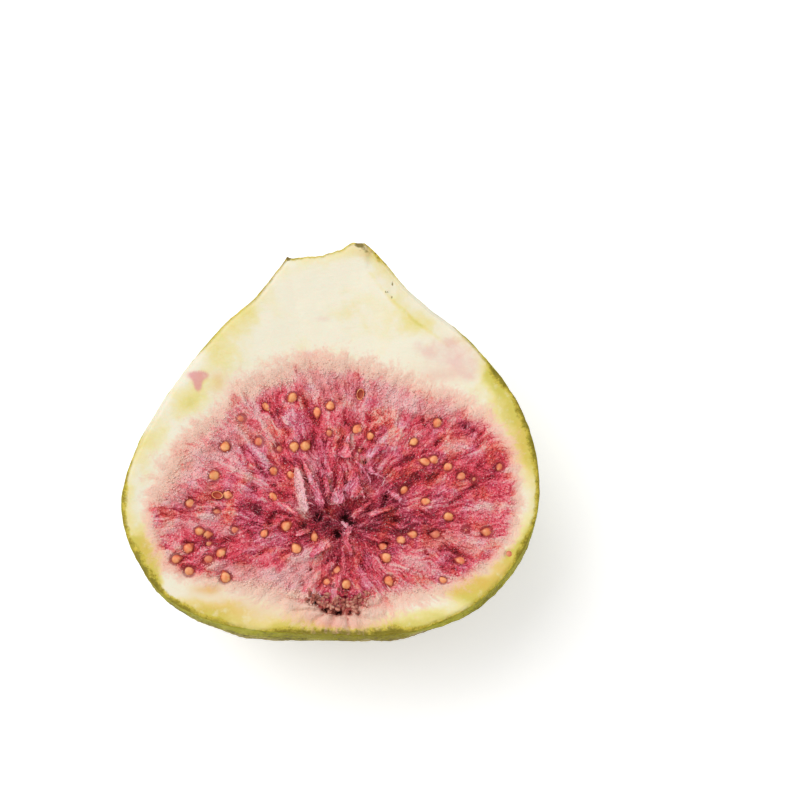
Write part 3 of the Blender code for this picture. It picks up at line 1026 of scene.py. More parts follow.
class Graph:
    """A node tree with short ways to add nodes to it."""

    def __init__(self, tree: bpy.types.NodeTree) -> None:
        """Wraps a node tree."""
        self.tree = tree

    def node(
        self,
        kind: str,
        settings: dict | None = None,
        values: dict | None = None,
        out: int | str = 0,
    ) -> Wire:
        """Adds a node.

        Args:
            kind: The node's type.
            settings: Its properties, and "stops" for a ramp's places and colours.
            values: Its inputs by name or number, each a number, a vector, an object or a Wire.
            out: The output to give.

        Returns:
            That output.
        """
        made = self.tree.nodes.new(kind)
        for name, setting in (settings or {}).items():
            if name == "stops":
                self.set_stops(made.color_ramp, setting)
            else:
                setattr(made, name, setting)
        for name, value in (values or {}).items():
            self.feed(made.inputs[name], value)
        return Wire(self, made.outputs[out])

    def feed(self, socket: bpy.types.NodeSocket, value: object) -> None:
        """Gives an input its value.

        Args:
            socket: The input.
            value: A Wire to link, or a plain value.
        """
        if isinstance(value, Wire):
            self.tree.links.new(value.socket, socket)
        else:
            socket.default_value = value

    @staticmethod
    def set_stops(ramp: bpy.types.ColorRamp, stops: Stops) -> None:
        """Gives a ramp its stops.

        Args:
            ramp: The ramp.
            stops: Places and colours, in order.
        """
        while len(ramp.elements) < len(stops):
            ramp.elements.new(1.0)
        for element, stop in zip(ramp.elements, stops):
            element.position, element.color = stop

    def vector(self, operation: str, first: object, second: object = None, out: int = 0) -> Wire:
        """Adds one Vector Math node, whose second value is a number where it scales."""
        values = {0: first} if second is None else {0: first, 3 if operation == "SCALE" else 1: second}
        return self.node("ShaderNodeVectorMath", {"operation": operation}, values, out)

    def combine(self, x: Value, y: Value, z: Value) -> Wire:
        """A vector of three numbers."""
        return self.node("ShaderNodeCombineXYZ", None, {0: x, 1: y, 2: z})

    def axis(self, vector: Wire, axis: int) -> Wire:
        """A vector's number along one axis."""
        return self.node("ShaderNodeSeparateXYZ", None, {0: vector}, axis)

    def drift(self, place: Wire, scale: float, middle: Point = (0.5, 0.5, 0.5)) -> Wire:
        """A smooth random vector, with a middle value taken off it."""
        swirl = self.node("ShaderNodeTexNoise", None, {"Vector": place, "Scale": scale}, "Color")
        return self.vector("SUBTRACT", swirl, middle)


class Look(Graph):
    """A material's node tree, with the place that is shaded, in millimetres."""

    def __init__(self, tree: bpy.types.NodeTree) -> None:
        """Wraps the node tree."""
        super().__init__(tree)
        self.place = self.vector("SCALE", self.node("ShaderNodeTexCoord", out="Object"), 1 / MM)

    def named(self, label: str) -> Wire:
        """A mesh attribute's value."""
        return self.node("ShaderNodeAttribute", {"attribute_name": label}, out="Fac")

    def noise(
        self, scale: float, detail: float = 2.0, rough: float = 0.5, place: Wire | None = None
    ) -> Wire:
        """Smooth noise from 0 to 1, with finer layers of some strength on it."""
        values = {"Vector": place or self.place, "Scale": scale, "Detail": detail, "Roughness": rough}
        return self.node("ShaderNodeTexNoise", None, values)

    def mix(self, share: Value, first: object, second: object) -> Wire:
        """Two colours mixed, with a share of the second."""
        values = {0: share, 6: first, 7: second}
        return self.node("ShaderNodeMix", {"data_type": "RGBA"}, values, 2)

    def ramp(self, share: Wire, stops: Stops) -> Wire:
        """A colour from a value, by stops."""
        return self.node("ShaderNodeValToRGB", {"stops": stops}, {0: share})

    def bump(self, height: Wire, distance: float, strength: float) -> Wire:
        """A normal bent by a height from 0 to 1 that stands for a distance in metres."""
        values = {"Height": height, "Distance": distance, "Strength": strength}
        return self.node("ShaderNodeBump", None, values)


@dataclass(frozen=True)
class Finish:
    """What all finishes share: a name, a gloss and how far light gets into the surface."""

    name: str = "finish"
    specular: float = 0.4
    glow: float = 0.0              # weight of light scattered under the surface
    glow_reach: float = 0.6 * MM
    glow_tint: Point = (1.0, 0.45, 0.4)

    def build(self) -> bpy.types.Material:
        """Makes the material.

        Returns:
            The material.
        """
        material = bpy.data.materials.new(self.name)
        material.use_nodes = True
        look = Look(material.node_tree)
        shader = material.node_tree.nodes["Principled BSDF"]
        tint, roughness, normal = self.surface(look)
        values = {
            "Base Color": tint, "Roughness": roughness, "Normal": normal,
            "Specular IOR Level": self.specular, "Subsurface Weight": self.glow,
            "Subsurface Scale": self.glow_reach, "Subsurface Radius": self.glow_tint,
        }
        for name, value in values.items():
            look.feed(shader.inputs[name], value)
        return material

    def surface(self, look: Look) -> Looks:
        """The looks of the surface; each finish has its own.

        Args:
            look: The material's graph.

        Returns:
            The colour, roughness and normal.
        """
        raise NotImplementedError


PULP = shades((0.05, 142, 10, 32), (0.32, 214, 44, 68), (0.58, 248, 100, 120), (0.9, 255, 182, 184))
WARM_PULP = shades(
    (0.05, 136, 14, 14), (0.32, 214, 52, 44), (0.58, 248, 112, 94), (0.9, 255, 192, 168),
)
COOL_PULP = shades(
    (0.05, 118, 10, 36), (0.32, 200, 50, 84), (0.58, 236, 118, 146), (0.9, 250, 192, 206),
)
SKIN = shades(
    (0.1, 74, 66, 4), (0.36, 118, 110, 4), (0.52, 150, 142, 12), (0.7, 176, 168, 44),
    (0.95, 204, 194, 92),
)
SCALES = shades((0.0, 118, 42, 38), (0.35, 180, 96, 82), (0.65, 210, 130, 112), (1.0, 232, 170, 146))


@dataclass(frozen=True)
class PulpFinish(Finish):
    """What the pulp's surface and its threads share: streaks that run towards the hollow."""

    hollow: Point = (0.8, -9.6, 0.0)
    contrast: float = 3.3
    haze: Colour = colour(246, 196, 192)
    peach: Colour = colour(254, 208, 186)
    # Painted shade: the dark red ring round each seed, in the pit it lies in
    socket: Colour = colour(150, 34, 36)
    # Painted shade: the near-black of the gaps and pits
    void: Colour = colour(84, 16, 22)
    brown: Colour = colour(188, 112, 86)
    # Pale granules, partly painted glints
    pale_specks_and_glints: Colour = colour(255, 218, 214)

    def flow(self, look: Look, turns: float, length: float, detail: float, rough: float) -> Wire:
        """Noise stretched into streaks towards the hollow.

        Args:
            look: The material's graph.
            turns: How many streaks fit in a radian.
            length: How long a streak is in millimetres.
            detail: How many finer layers the noise has.
            rough: How strong these are.

        Returns:
            The noise, from 0 to 1.
        """
        wander = look.vector("SCALE", look.drift(look.place, 0.3), 3.4)
        away = look.vector("ADD", look.place, wander)
        away = look.vector("SUBTRACT", away, self.hollow)
        away = look.vector("MULTIPLY", away, LEVEL)
        reach = look.vector("LENGTH", away, out=1)
        aim = look.vector("SCALE", look.vector("NORMALIZE", away), turns)
        stretched = look.vector("ADD", aim, look.combine(0.0, 0.0, reach / length))
        return look.noise(1.0, detail, rough, stretched)

    def streaks(self, look: Look) -> Wire:
        """How pale each streak is, from about 0 to 1.

        Args:
            look: The material's graph.

        Returns:
            The paleness.
        """
        broad = self.flow(look, 7.0, 5.5, 2.0, 0.5)
        fine = self.flow(look, 24.0, 2.8, 3.0, 0.6)
        grain = look.noise(3.6, 4.0, 0.8)
        mixed = broad * 0.3 + fine * 0.4 + grain * 0.44
        furrow = self.flow(look, 13.0, 5.0, 2.0, 0.6)
        furrow = (furrow - 0.47).size().ease(0.035, 0.0)
        tone = (mixed - 0.57) * self.contrast + look.named("ridge") * 0.2 + 0.58
        # Dark furrows darken the tone: partly darker pulp, partly painted shade
        return tone - furrow * 0.22 + look.named("pale")

    def tint(self, look: Look, tone: Wire) -> Wire:
        """The pulp's colour.

        Args:
            look: The material's graph.
            tone: How pale the pulp is there before its patches are added.

        Returns:
            The colour.
        """
        depth = look.named("inside") - look.named("peach") * 1.6
        fringe = depth.ease(3.4, -0.6)
        haze = look.named("haze")
        shade = tone - look.named("deep") * 0.3 + haze * 0.2 + fringe * 0.3
        warm = look.noise(0.42, 3.0, 0.6) + fringe * 0.14
        cool = look.noise(0.36, 3.0, 0.6, look.vector("ADD", look.place, (40.0, 0.0, 0.0)))
        tint = look.ramp(shade, PULP)
        tint = look.mix(warm.ease(0.46, 0.64) * 0.8, tint, look.ramp(shade, WARM_PULP))
        cool = cool + look.named("inside").ease(5.0, 13.0) * 0.07 - fringe * 0.1 - haze * 0.06
        cool = cool.ease(0.48, 0.64) * 0.8 + look.named("cool")
        tint = look.mix(cool, tint, look.ramp(shade, COOL_PULP))
        tint = look.mix((haze + (tone - 0.5) * 0.5).ease(0.2, 1.1) * 0.6, tint, self.haze)
        peach = fringe * 1.12 + (tone - 0.5) * 0.9
        tint = look.mix(peach.ease(0.15, 1.05) * 0.85, tint, self.peach)
        # Whitish specks: partly pale granules of the pulp, partly painted glints
        pale_specks_and_glints = look.noise(5.6, 3.0, 0.7)
        tint = look.mix((pale_specks_and_glints - 0.5).ease(0.08, 0.18) * 0.75, tint, self.pale_specks_and_glints)
        # Painted shade: near-black in the gaps, in random pits and where the pulp is darkest
        pits = look.noise(1.5, 2.0, 0.6, look.vector("ADD", look.place, (0.0, 60.0, 0.0)))
        void = look.named("void") - (tone - 0.5) * 0.4 + pits.ease(0.64, 0.76) * 0.5
        tint = look.mix(look.named("bark").ease(0.1, 1.0) * 0.7, tint, self.brown)
        return look.mix(void.ease(0.25, 0.8), tint, self.void)


@dataclass(frozen=True)
class FleshFinish(PulpFinish):
    """The cut face: pale flesh round the rim, streaked pink pulp inside."""

    name: str = "fig_flesh"
    glow: float = 0.2
    chalk: Colour = colour(248, 243, 226)
    cream: Colour = colour(240, 233, 210)
    lemon: Colour = colour(234, 220, 146)
    leaf: Colour = colour(206, 194, 72)
    gold: Colour = colour(228, 174, 78)
    blush: Colour = colour(224, 140, 150)
    blossom: Colour = colour(240, 194, 174)
    bark: Colour = colour(134, 118, 58)
    rim: Colour = colour(120, 108, 4)
    olive: Colour = colour(156, 138, 16)
    moss: Colour = colour(210, 190, 66)

    def pale_flesh(self, look: Look) -> Wire:
        """The flesh between the pulp and the skin.

        Args:
            look: The material's graph.

        Returns:
            Its colour.
        """
        gap = look.named("gap")
        broad = look.noise(0.2, 4.0, 0.6)
        mottle = look.noise(0.75, 4.0, 0.65)
        skin = look.named("skin")
        green = look.named("green") * 0.9 + (broad - 0.5) * 1.1 + (mottle - 0.5) * 0.8
        green = green + gap.ease(2.6, 0.2) * (skin * 0.9 + 0.22)
        # The strip that slopes away by the right flank: partly greener flesh, partly painted shade,
        # most along its crease
        bevel = look.named("bevel")
        crease = bevel * (gap + (mottle - 0.5) * 0.5 - 2.1).size().ease(0.4, 0.0)
        green = green + bevel * gap.ease(2.4, 1.0) * 0.16 + crease * 0.26
        pale = look.mix(green.ease(0.0, 0.75), self.cream, self.lemon)
        pale = look.mix((green - 0.55).ease(0.0, 0.7) * 0.85, pale, self.leaf)
        pale = look.mix(look.named("gold") * 0.8, pale, self.gold)
        blush = look.named("blush") + (mottle - 0.5) * 0.6
        pale = look.mix(blush.ease(0.1, 1.0) * 0.76, pale, self.blush)
        pale = look.mix((mottle - 0.5).ease(0.02, 0.22) * 0.3, pale, self.chalk)
        ragged = look.noise(1.1, 4.0, 0.65) - 0.5
        edge = gap + ragged * (skin * 1.6 + 0.3) - skin * 0.75
        granules = look.noise(2.6, 4.0, 0.75) + (mottle - 0.5) * 0.8
        olive = look.mix(granules.ease(0.34, 0.6), self.olive, self.moss)
        pale = look.mix(edge.ease(0.38, -0.05), pale, olive)
        pale = look.mix(edge.ease(0.0, -0.5) * (skin * 0.3 + 0.5), pale, self.rim)
        bark = look.named("bark") + (look.noise(2.2, 3.0) - 0.5) * 0.9
        return look.mix(bark.ease(0.45, 0.85), pale, self.bark)

    def surface(self, look: Look) -> Looks:
        """The looks of the cut face.

        Args:
            look: The material's graph.

        Returns:
            Its colour, roughness and normal.
        """
        tone = self.streaks(look)
        pulp = self.tint(look, tone)
        # Painted shade: a dark red ring round each seed, where the pulp dips into its pit
        gap = look.named("socket") + (tone - 0.5) * 0.2
        pulp = look.mix(gap.ease(1.55, 1.15) * 0.7, pulp, self.socket)
        ragged = self.flow(look, 20.0, 1.8, 3.0, 0.65)
        inside = look.named("inside") + (ragged - 0.5) * 3.4
        inside = inside + (look.noise(2.2, 4.0, 0.7) - 0.5) * 2.6
        pale = self.pale_flesh(look)
        outer = inside + (tone - 0.5) * 1.8
        outer = outer.ease(-1.1, 0.9) * (0.75 - look.named("gold") * 0.5)
        outer = outer * look.named("gap").ease(0.2, 1.4)
        fringe = look.mix(outer, pale, self.blossom)
        tint = look.mix((inside - look.named("peach") * 0.8).ease(-0.9, 1.8), fringe, pulp)
        pulpy = inside.ease(-0.6, 2.0)
        roughness = 0.56 + look.noise(1.2) * 0.16 - pulpy * 0.08
        dents = look.noise(1.0, 4.0, 0.7, look.vector("MULTIPLY", look.place, (0.7, 1.3, 0.5)))
        crystals = look.noise(6.5, 2.0, 0.7)
        height = (tone * 0.5 + crystals * 0.6) * pulpy + dents * 0.35 * (1 - pulpy)
        return tint, roughness, look.bump(height, 0.3 * MM, 0.8)


@dataclass(frozen=True)
class SkinFinish(Finish):
    """The round back: mottled olive skin, scuffed grey-brown towards the eye."""

    name: str = "fig_skin"
    glow: float = 0.04
    specular: float = 0.16
    bright: Colour = colour(180, 174, 36)
    deep: Colour = colour(140, 124, 2)
    pale: Colour = colour(226, 222, 168)
    dust: Colour = colour(184, 164, 118)
    pit: Colour = colour(88, 66, 36)

    def surface(self, look: Look) -> Looks:
        """The looks of the skin.

        Args:
            look: The material's graph.

        Returns:
            Its colour, roughness and normal.
        """
        high = look.axis(look.place, 2)
        along = look.axis(look.place, 1)
        broad = look.noise(1.0, 5.0, 0.6, look.vector("MULTIPLY", look.place, (0.24, 0.14, 0.24)))
        blotch = look.noise(0.8, 5.0, 0.7)
        fleck = look.noise(2.4, 4.0, 0.75)
        tone = (broad * 0.42 + blotch * 0.4 + fleck * 0.36 - 0.59) * 3.6 + 0.5
        # Painted shade: the skin darker towards the floor
        tone = tone - high.ease(8.0, 0.0) * 0.22
        tint = look.ramp(tone, SKIN)
        lip = high + (blotch - 0.5) * 6
        tint = look.mix(lip.ease(15.5, 20.5) * 0.65, tint, self.bright)
        tint = look.mix(look.named("skin").ease(0.5, 1.2) * 0.8, tint, self.deep)
        dust = along.ease(-2.0, -20.0) * 1.1 + (broad - 0.5) * 2.4 + (fleck - 0.5) * 1.8
        dust = dust - high.ease(14.0, 20.0) * 1.3
        tint = look.mix(dust.ease(0.25, 1.1) * 0.6, tint, self.dust)
        flank = look.named("skin") * -0.9 - high.ease(20.8, 19.0) * 1.3 + (blotch - 0.5) * 1.2
        tint = look.mix(flank.ease(0.1, 0.9) * 0.85, tint, self.pale)
        pits = (0.5 - fleck) * 1.6 + along.ease(4.0, -16.0) * 0.1 + (0.5 - broad) * 0.6
        tint = look.mix(pits.ease(0.12, 0.36) * 0.55, tint, self.pit)
        roughness = 0.6 + fleck * 0.22
        height = broad * 0.6 + blotch * 0.7 + fleck * 0.6
        return tint, roughness, look.bump(height, 0.42 * MM, 0.8)


@dataclass(frozen=True)
class ThreadFinish(PulpFinish):
    """The pulp's threads and florets, tinted like the pulp that they lie on, a little paler."""

    name: str = "fig_threads"
    glow: float = 0.25
    own_share: float = 0.16        # how much of a thread's tone is its own

    def surface(self, look: Look) -> Looks:
        """The looks of the threads.

        Args:
            look: The material's graph.

        Returns:
            Their colour, roughness and normal.
        """
        own = (look.named("tone") - 0.42) * self.own_share
        tip = (look.named("along") - 0.5) * 0.1
        tone = self.streaks(look) * 0.9 + own + tip + 0.06
        crystals = look.noise(8.0, 2.0, 0.7)
        return self.tint(look, tone), 0.44, look.bump(crystals, 0.07 * MM, 0.8)


@dataclass(frozen=True)
class SeedFinish(Finish):
    """The seeds: salmon tan, red-brown round their edge, partly their own colour and partly painted
    shade.
    """

    name: str = "fig_seeds"
    glow: float = 0.2
    glow_reach: float = 0.3 * MM
    tan: Colour = colour(240, 132, 86)
    pale: Colour = colour(248, 176, 124)
    honey: Colour = colour(232, 180, 104)
    # Red-brown of the seeds' lower sides, partly their own colour, partly painted shade
    rust_and_painted_shade: Colour = colour(176, 56, 40)
    veiled: Colour = colour(200, 92, 88)

    def surface(self, look: Look) -> Looks:
        """The looks of the seeds.

        Args:
            look: The material's graph.

        Returns:
            Their colour, roughness and normal.
        """
        mottle = look.noise(1.9, 3.0)
        tint = look.mix(mottle.ease(0.38, 0.66), self.tan, self.pale)
        tint = look.mix(look.noise(0.3).ease(0.5, 0.66) * 0.4, tint, self.honey)
        # Red-brown on the lower sides of each seed and inside each shell: partly their own colour,
        # partly painted shade
        rim = look.named("level") + (mottle - 0.5) * 0.4
        tint = look.mix(rim.ease(0.86, 0.6) * 0.9, tint, self.rust_and_painted_shade)
        tint = look.mix(look.named("veil") * 0.7, tint, self.veiled)
        return tint, 0.42 + mottle * 0.12, look.bump(mottle, 0.05 * MM, 0.5)


@dataclass(frozen=True)
class ScaleFinish(Finish):
    """The dry scales of the eye, pink and beige."""

    name: str = "fig_scales"
    glow: float = 0.2
    specular: float = 0.35

    def surface(self, look: Look) -> Looks:
        """The looks of the scales.

        Args:
            look: The material's graph.

        Returns:
            Their colour, roughness and normal.
        """
        grain = look.noise(3.0, 4.0, 0.75)
        tone = look.named("tone") * 0.7 + (grain - 0.5) * 2.2 + 0.2
        return look.ramp(tone, SCALES), 0.6, look.bump(grain, 0.25 * MM, 0.9)


@dataclass(frozen=True)
class FloorFinish(Finish):
    """A plain pale floor."""

    name: str = "studio_floor"
    specular: float = 0.1
    lit: float = 0.34              # light that the bright table gives off itself
    pale: Colour = (0.98, 0.98, 0.98, 1.0)
    mottled: Colour = (0.95, 0.95, 0.95, 1.0)

    def surface(self, look: Look) -> Looks:
        """The looks of the floor, which is faintly mottled.

        Args:
            look: The material's graph.

        Returns:
            Its colour, roughness and normal.
        """
        shader = look.tree.nodes["Principled BSDF"]
        shader.inputs["Emission Color"].default_value = self.pale
        shader.inputs["Emission Strength"].default_value = self.lit
        broad = look.noise(0.01)
        tint = look.mix(broad * 0.2, self.pale, self.mottled)
        return tint, 0.9, look.bump(broad, 0.01 * MM, 0.1)


@dataclass
class Shape:
    """Points, faces and named values of a mesh in the making, in millimetres."""

    points: Array
    faces: list[tuple[int, ...]]
    values: dict[str, Array] = field(default_factory=dict)

    @staticmethod
    def tube(rings: Array) -> Shape:
        """A closed tube through rings of points, whose first and last ring shrink to a point.

        Args:
            rings: One ring of points for each station, all of the same count.

        Returns:
            The closed shape, with "along" running from 0 to 1 over the stations.
        """
        stations, sides, _ = rings.shape
        body = rings[1:-1].reshape(-1, 3)
        points = np.vstack([rings[0].mean(axis=0), body, rings[-1].mean(axis=0)])
        last = len(points) - 1
        faces: list[tuple[int, ...]] = []
        for side in range(sides):
            after = (side + 1) % sides
            faces.append((0, 1 + after, 1 + side))
            end = 1 + (stations - 3) * sides
            faces.append((last, end + side, end + after))
            for station in range(stations - 3):
                a, b = 1 + station * sides + side, 1 + station * sides + after
                faces.append((a, b, b + sides, a + sides))
        along = np.repeat(np.linspace(0, 1, stations)[1:-1], sides)
        return Shape(points, faces, {"along": np.concatenate([[0.0], along, [1.0]])})

    @staticmethod
    def lathe(profile: Line, sides: int) -> Shape:
        """A shape turned about the Z axis.

        Args:
            profile: Radius and height of each ring, from one pole to the other.
            sides: How many sides the rings have.

        Returns:
            The closed shape, with "along" running from 0 at its first pole to 1 at its last.
        """
        turn = circle(sides)
        radius, height = np.array(profile).T[:, :, None]
        rings = np.dstack([radius * np.cos(turn), radius * np.sin(turn), height + turn * 0])
        return Shape.tube(rings)

    @staticmethod
    def joined(shapes: list[Shape]) -> Shape:
        """All the shapes in one.

        Args:
            shapes: What to join; each has the same named values.

        Returns:
            The one shape.
        """
        faces: list[tuple[int, ...]] = []
        start = 0
        for shape in shapes:
            faces += [tuple(start + i for i in face) for face in shape.faces]
            start += len(shape.points)
        values = {
            name: np.concatenate([shape.values[name] for shape in shapes])
            for name in shapes[0].values
        }
        return Shape(np.vstack([shape.points for shape in shapes]), faces, values)

    def make(self, name: str, material: bpy.types.Material | None = None) -> Object:
        """Makes the object.

        Args:
            name: The object's name.
            material: Its finish.

        Returns:
            The object, at the origin.
        """
        mesh = bpy.data.meshes.new(name)
        mesh.from_pydata((self.points * MM).tolist(), [], self.faces)
        for label, numbers in self.values.items():
            kind, slot = ("FLOAT_VECTOR", "vector") if numbers.ndim == 2 else ("FLOAT", "value")
            layer = mesh.attributes.new(label, kind, "POINT")
            layer.data.foreach_set(slot, numbers.astype(np.float32).ravel())
        if material:
            mesh.materials.append(material)
        mesh.shade_smooth()
        return link(mesh)


class Growth(Graph):
    """A Geometry Nodes tree with named inputs, run once and turned into a plain mesh."""

    def __init__(self, name: str, inputs: dict[str, str]) -> None:
        """Lays out the tree's inputs.

        Args:
            name: The tree's name.
            inputs: Each input's name and the type of its socket.
        """
        super().__init__(bpy.data.node_groups.new(name, "GeometryNodeTree"))
        face = self.tree.interface
        kinds = {"Geometry": "NodeSocketGeometry", "Material": "NodeSocketMaterial", **inputs}
        self.sockets = {
            label: face.new_socket(label, in_out="INPUT", socket_type=kind)
            for label, kind in kinds.items()
        }
        face.new_socket("Geometry", in_out="OUTPUT", socket_type="NodeSocketGeometry")
        self.entry = self.tree.nodes.new("NodeGroupInput")

    def value(self, label: str) -> Wire:
        """One of the tree's inputs."""
        return Wire(self, self.entry.outputs[label])

    def named(self, label: str, kind: str = "FLOAT") -> Wire:
        """An attribute of the geometry."""
        settings = {"data_type": kind}
        return self.node("GeometryNodeInputNamedAttribute", settings, {"Name": label})

    def store(self, geometry: Wire, label: str, value: Wire) -> Wire:
        """The geometry with a number stored on its points."""
        values = {"Geometry": geometry, "Name": label, "Value": value}
        return self.node("GeometryNodeStoreNamedAttribute", None, values)

    def random(self, low: float, high: float, seed: Value) -> Wire:
        """A random number for each point."""
        return self.node("FunctionNodeRandomValue", None, {2: low, 3: high, "Seed": seed}, 1)

    def end(self, geometry: Wire) -> None:
        """Gives the geometry its material and ends the tree with it.

        Args:
            geometry: What the tree has made.
        """
        smooth = self.node("GeometryNodeSetShadeSmooth", None, {"Geometry": geometry})
        values = {"Geometry": smooth, "Material": self.value("Material")}
        dressed = self.node("GeometryNodeSetMaterial", None, values)
        leave = self.tree.nodes.new("NodeGroupOutput")
        self.feed(leave.inputs[0], dressed)

    def run(self, host: Object, name: str, values: dict) -> Object:
        """Runs the tree on an object, which is taken away afterwards.

        Args:
            host: What it grows on.
            name: The new object's name.
            values: The inputs' values by name.

        Returns:
            A new object with the result as a plain mesh.
        """
        modifier = host.modifiers.new(name, "NODES")
        modifier.node_group = self.tree
        for label, value in values.items():
            modifier[self.sockets[label].identifier] = value
        grown = host.evaluated_get(bpy.context.evaluated_depsgraph_get())
        mesh = bpy.data.meshes.new_from_object(grown)
        mesh.name = name
        host.modifiers.remove(modifier)
        bpy.data.objects.remove(host, do_unlink=True)
        return link(mesh)


class Planting(Growth):
    """Puts one shape on each of some points, turned and sized by the points' own values."""

    def __init__(self) -> None:
        """Builds the tree."""
        super().__init__("planting", {"Shape": "NodeSocketObject"})
        shape = self.node("GeometryNodeObjectInfo", None, {"Object": self.value("Shape")}, "Geometry")
        euler = self.named("lean", "FLOAT_VECTOR")
        values = {
            "Points": self.value("Geometry"),
            "Instance": shape,
            "Rotation": self.node("FunctionNodeEulerToRotation", None, {0: euler}),
            "Scale": self.named("size", "FLOAT_VECTOR"),
        }
        planted = self.node("GeometryNodeInstanceOnPoints", None, values)
        self.end(self.node("GeometryNodeRealizeInstances", None, {"Geometry": planted}))

    def plant(self, spots: Shape, shape: Shape, name: str, finish: Finish) -> Object:
        """Plants a shape.

        Args:
            spots: Points with "lean" (turns about X, Y and Z) and "size" (along each axis).
            shape: What to plant.
            name: The piece's name.
            finish: The piece's finish.

        Returns:
            The piece.
        """
        model = shape.make(f"{name}_shape")
        host = spots.make(f"{name}_spots")
        made = self.run(host, name, {"Shape": model, "Material": finish.build()})
        bpy.data.objects.remove(model, do_unlink=True)
        return made


@dataclass
class PulpThreads:
    """One kind of threads in the pulp, which lie towards the hollow and rise at their tips."""

    name: str
    seed: int
    apart: float                   # at least, from root to root
    density: float                 # at most, for each square millimetre
    length: Pair
    width: Pair
    tilt: Pair                     # up from the pulp
    wander: float                  # to either side
    bend: float
    start: float                   # how far inside the pulp's edge they begin
    sides: int = 3
    flatness: float = 0.6
    ramp: float = 2.0              # from their start to where they are all there
    tangle: float = 2.5            # nearer to the hollow than this they point any way
    swirl: float = 1.4
    swirl_scale: float = 260.0     # for each metre
    sway_scale: float = 700.0

    def direction(self, tree: Growth, here: Wire, centre: Array) -> Wire:
        """Which way a thread points: towards the hollow, give or take, and a little up.

        Args:
            tree: The growth's tree.
            here: The place of its root.
            centre: The place of the hollow, in millimetres.

        Returns:
            The direction.
        """
        inward = tree.vector("SUBTRACT", (*(centre * MM), 0.0), here)
        inward = tree.vector("MULTIPLY", inward, LEVEL)
        reach = tree.vector("LENGTH", inward, out=1) + self.tangle * MM
        inward = tree.vector("SCALE", inward, 1 / reach)
        swirl = tree.vector("SCALE", tree.drift(here, self.swirl_scale), self.swirl)
        flat = tree.vector("MULTIPLY", tree.vector("ADD", inward, swirl), LEVEL)
        sideways = [tree.random(-self.wander, self.wander, self.seed + k) for k in (1, 2)]
        rise = tree.random(*self.tilt, self.seed + 3)
        return tree.vector("ADD", flat, tree.combine(*sideways, rise))

    def thread(self, tree: Growth) -> Wire:
        """One thread, 1 mm long and 2 mm wide, to be sized where it grows.

        Args:
            tree: The growth's tree.

        Returns:
            A pointed shape that is thick in its middle.
        """
        here = tree.node("GeometryNodeInputPosition")
        values = {"Vertices": self.sides, "Side Segments": 3}
        values.update({side: MM for side in ("Radius Top", "Radius Bottom", "Depth")})
        cone = tree.node("GeometryNodeMeshCone", None, values)
        height = tree.axis(here, 2) / MM
        cone = tree.store(cone, "along", height)
        narrow = (height * 2 - 0.9) ** 2 * -0.8
        pinch = tree.vector("SCALE", tree.vector("MULTIPLY", here, LEVEL), narrow)
        return tree.node("GeometryNodeSetPosition", None, {"Geometry": cone, "Offset": pinch})

    def grow(self, body: FigBody, bed: Object) -> Object:
        """Grows the threads.

        Args:
            body: What has the hollow that they point to.
            bed: The pulp's surface.

        Returns:
            The piece.
        """
        tree = Growth(self.name, {"Seed": "NodeSocketInt"})
        bare = tree.named("socket").ease(0.9, 1.3) * tree.named("void").ease(0.8, 0.3)
        values = {
            "Mesh": tree.value("Geometry"),
            "Distance Min": self.apart * MM,
            "Density Max": self.density / MM**2,
            "Density Factor": bare * tree.named("inside").ease(self.start, self.start + self.ramp),
            "Seed": tree.value("Seed"),
        }
        settings = {"distribute_method": "POISSON"}
        spread = tree.node("GeometryNodeDistributePointsOnFaces", settings, values)
        here = tree.node("GeometryNodeInputPosition")
        turned = None
        for axis, settings, way in (
            ("Z", {}, self.direction(tree, here, body.centre)),
            ("Y", {"pivot_axis": "Z"}, Wire(tree, spread.socket.node.outputs["Normal"])),
        ):
            values = {"Vector": way} | ({"Rotation": turned} if turned else {})
            settings = {"axis": axis} | settings
            turned = tree.node("FunctionNodeAlignRotationToVector", settings, values)
        deep = tree.named("inside").ease(-0.5, 2.5) * 0.6 + 0.4
        width = tree.random(*self.width, self.seed + 6) * deep
        length = tree.random(*self.length, self.seed + 7) * deep
        values = {
            "Points": tree.store(spread, "tone", tree.random(0.0, 1.0, self.seed)),
            "Instance": self.thread(tree),
            "Rotation": turned,
            "Scale": tree.combine(width, width * self.flatness, length),
        }
        placed = tree.node("GeometryNodeInstanceOnPoints", None, values)
        real = tree.node("GeometryNodeRealizeInstances", None, {"Geometry": placed})
        reach = tree.named("along") ** 2 * self.bend * MM
        sway = tree.vector("SCALE", tree.drift(here, self.sway_scale, (0.5, 0.5, 0.62)), reach)
        tree.end(tree.node("GeometryNodeSetPosition", None, {"Geometry": real, "Offset": sway}))
        values = {"Seed": self.seed, "Material": ThreadFinish().build()}
        return tree.run(bed, self.name, values)


THREADS = [
    PulpThreads(
        "pulp_threads", 5, apart=0.5, density=7.0, length=(0.3, 1.0), width=(0.05, 0.11),
        tilt=(0.0, 0.15), wander=0.5, bend=1.6, start=0.9,
    ),
    PulpThreads(
        "pulp_fuzz", 45, apart=0.34, density=12.0, length=(0.12, 0.34), width=(0.05, 0.11),
        tilt=(0.0, 0.5), wander=1.2, bend=0.8, start=0.6,
    ),
    PulpThreads(
        "pulp_crumbs", 65, apart=0.28, density=20.0, length=(0.12, 0.32), width=(0.09, 0.2),
        tilt=(0.0, 1.5), wander=2.0, bend=0.4, start=0.5, sides=4,
    ),
]


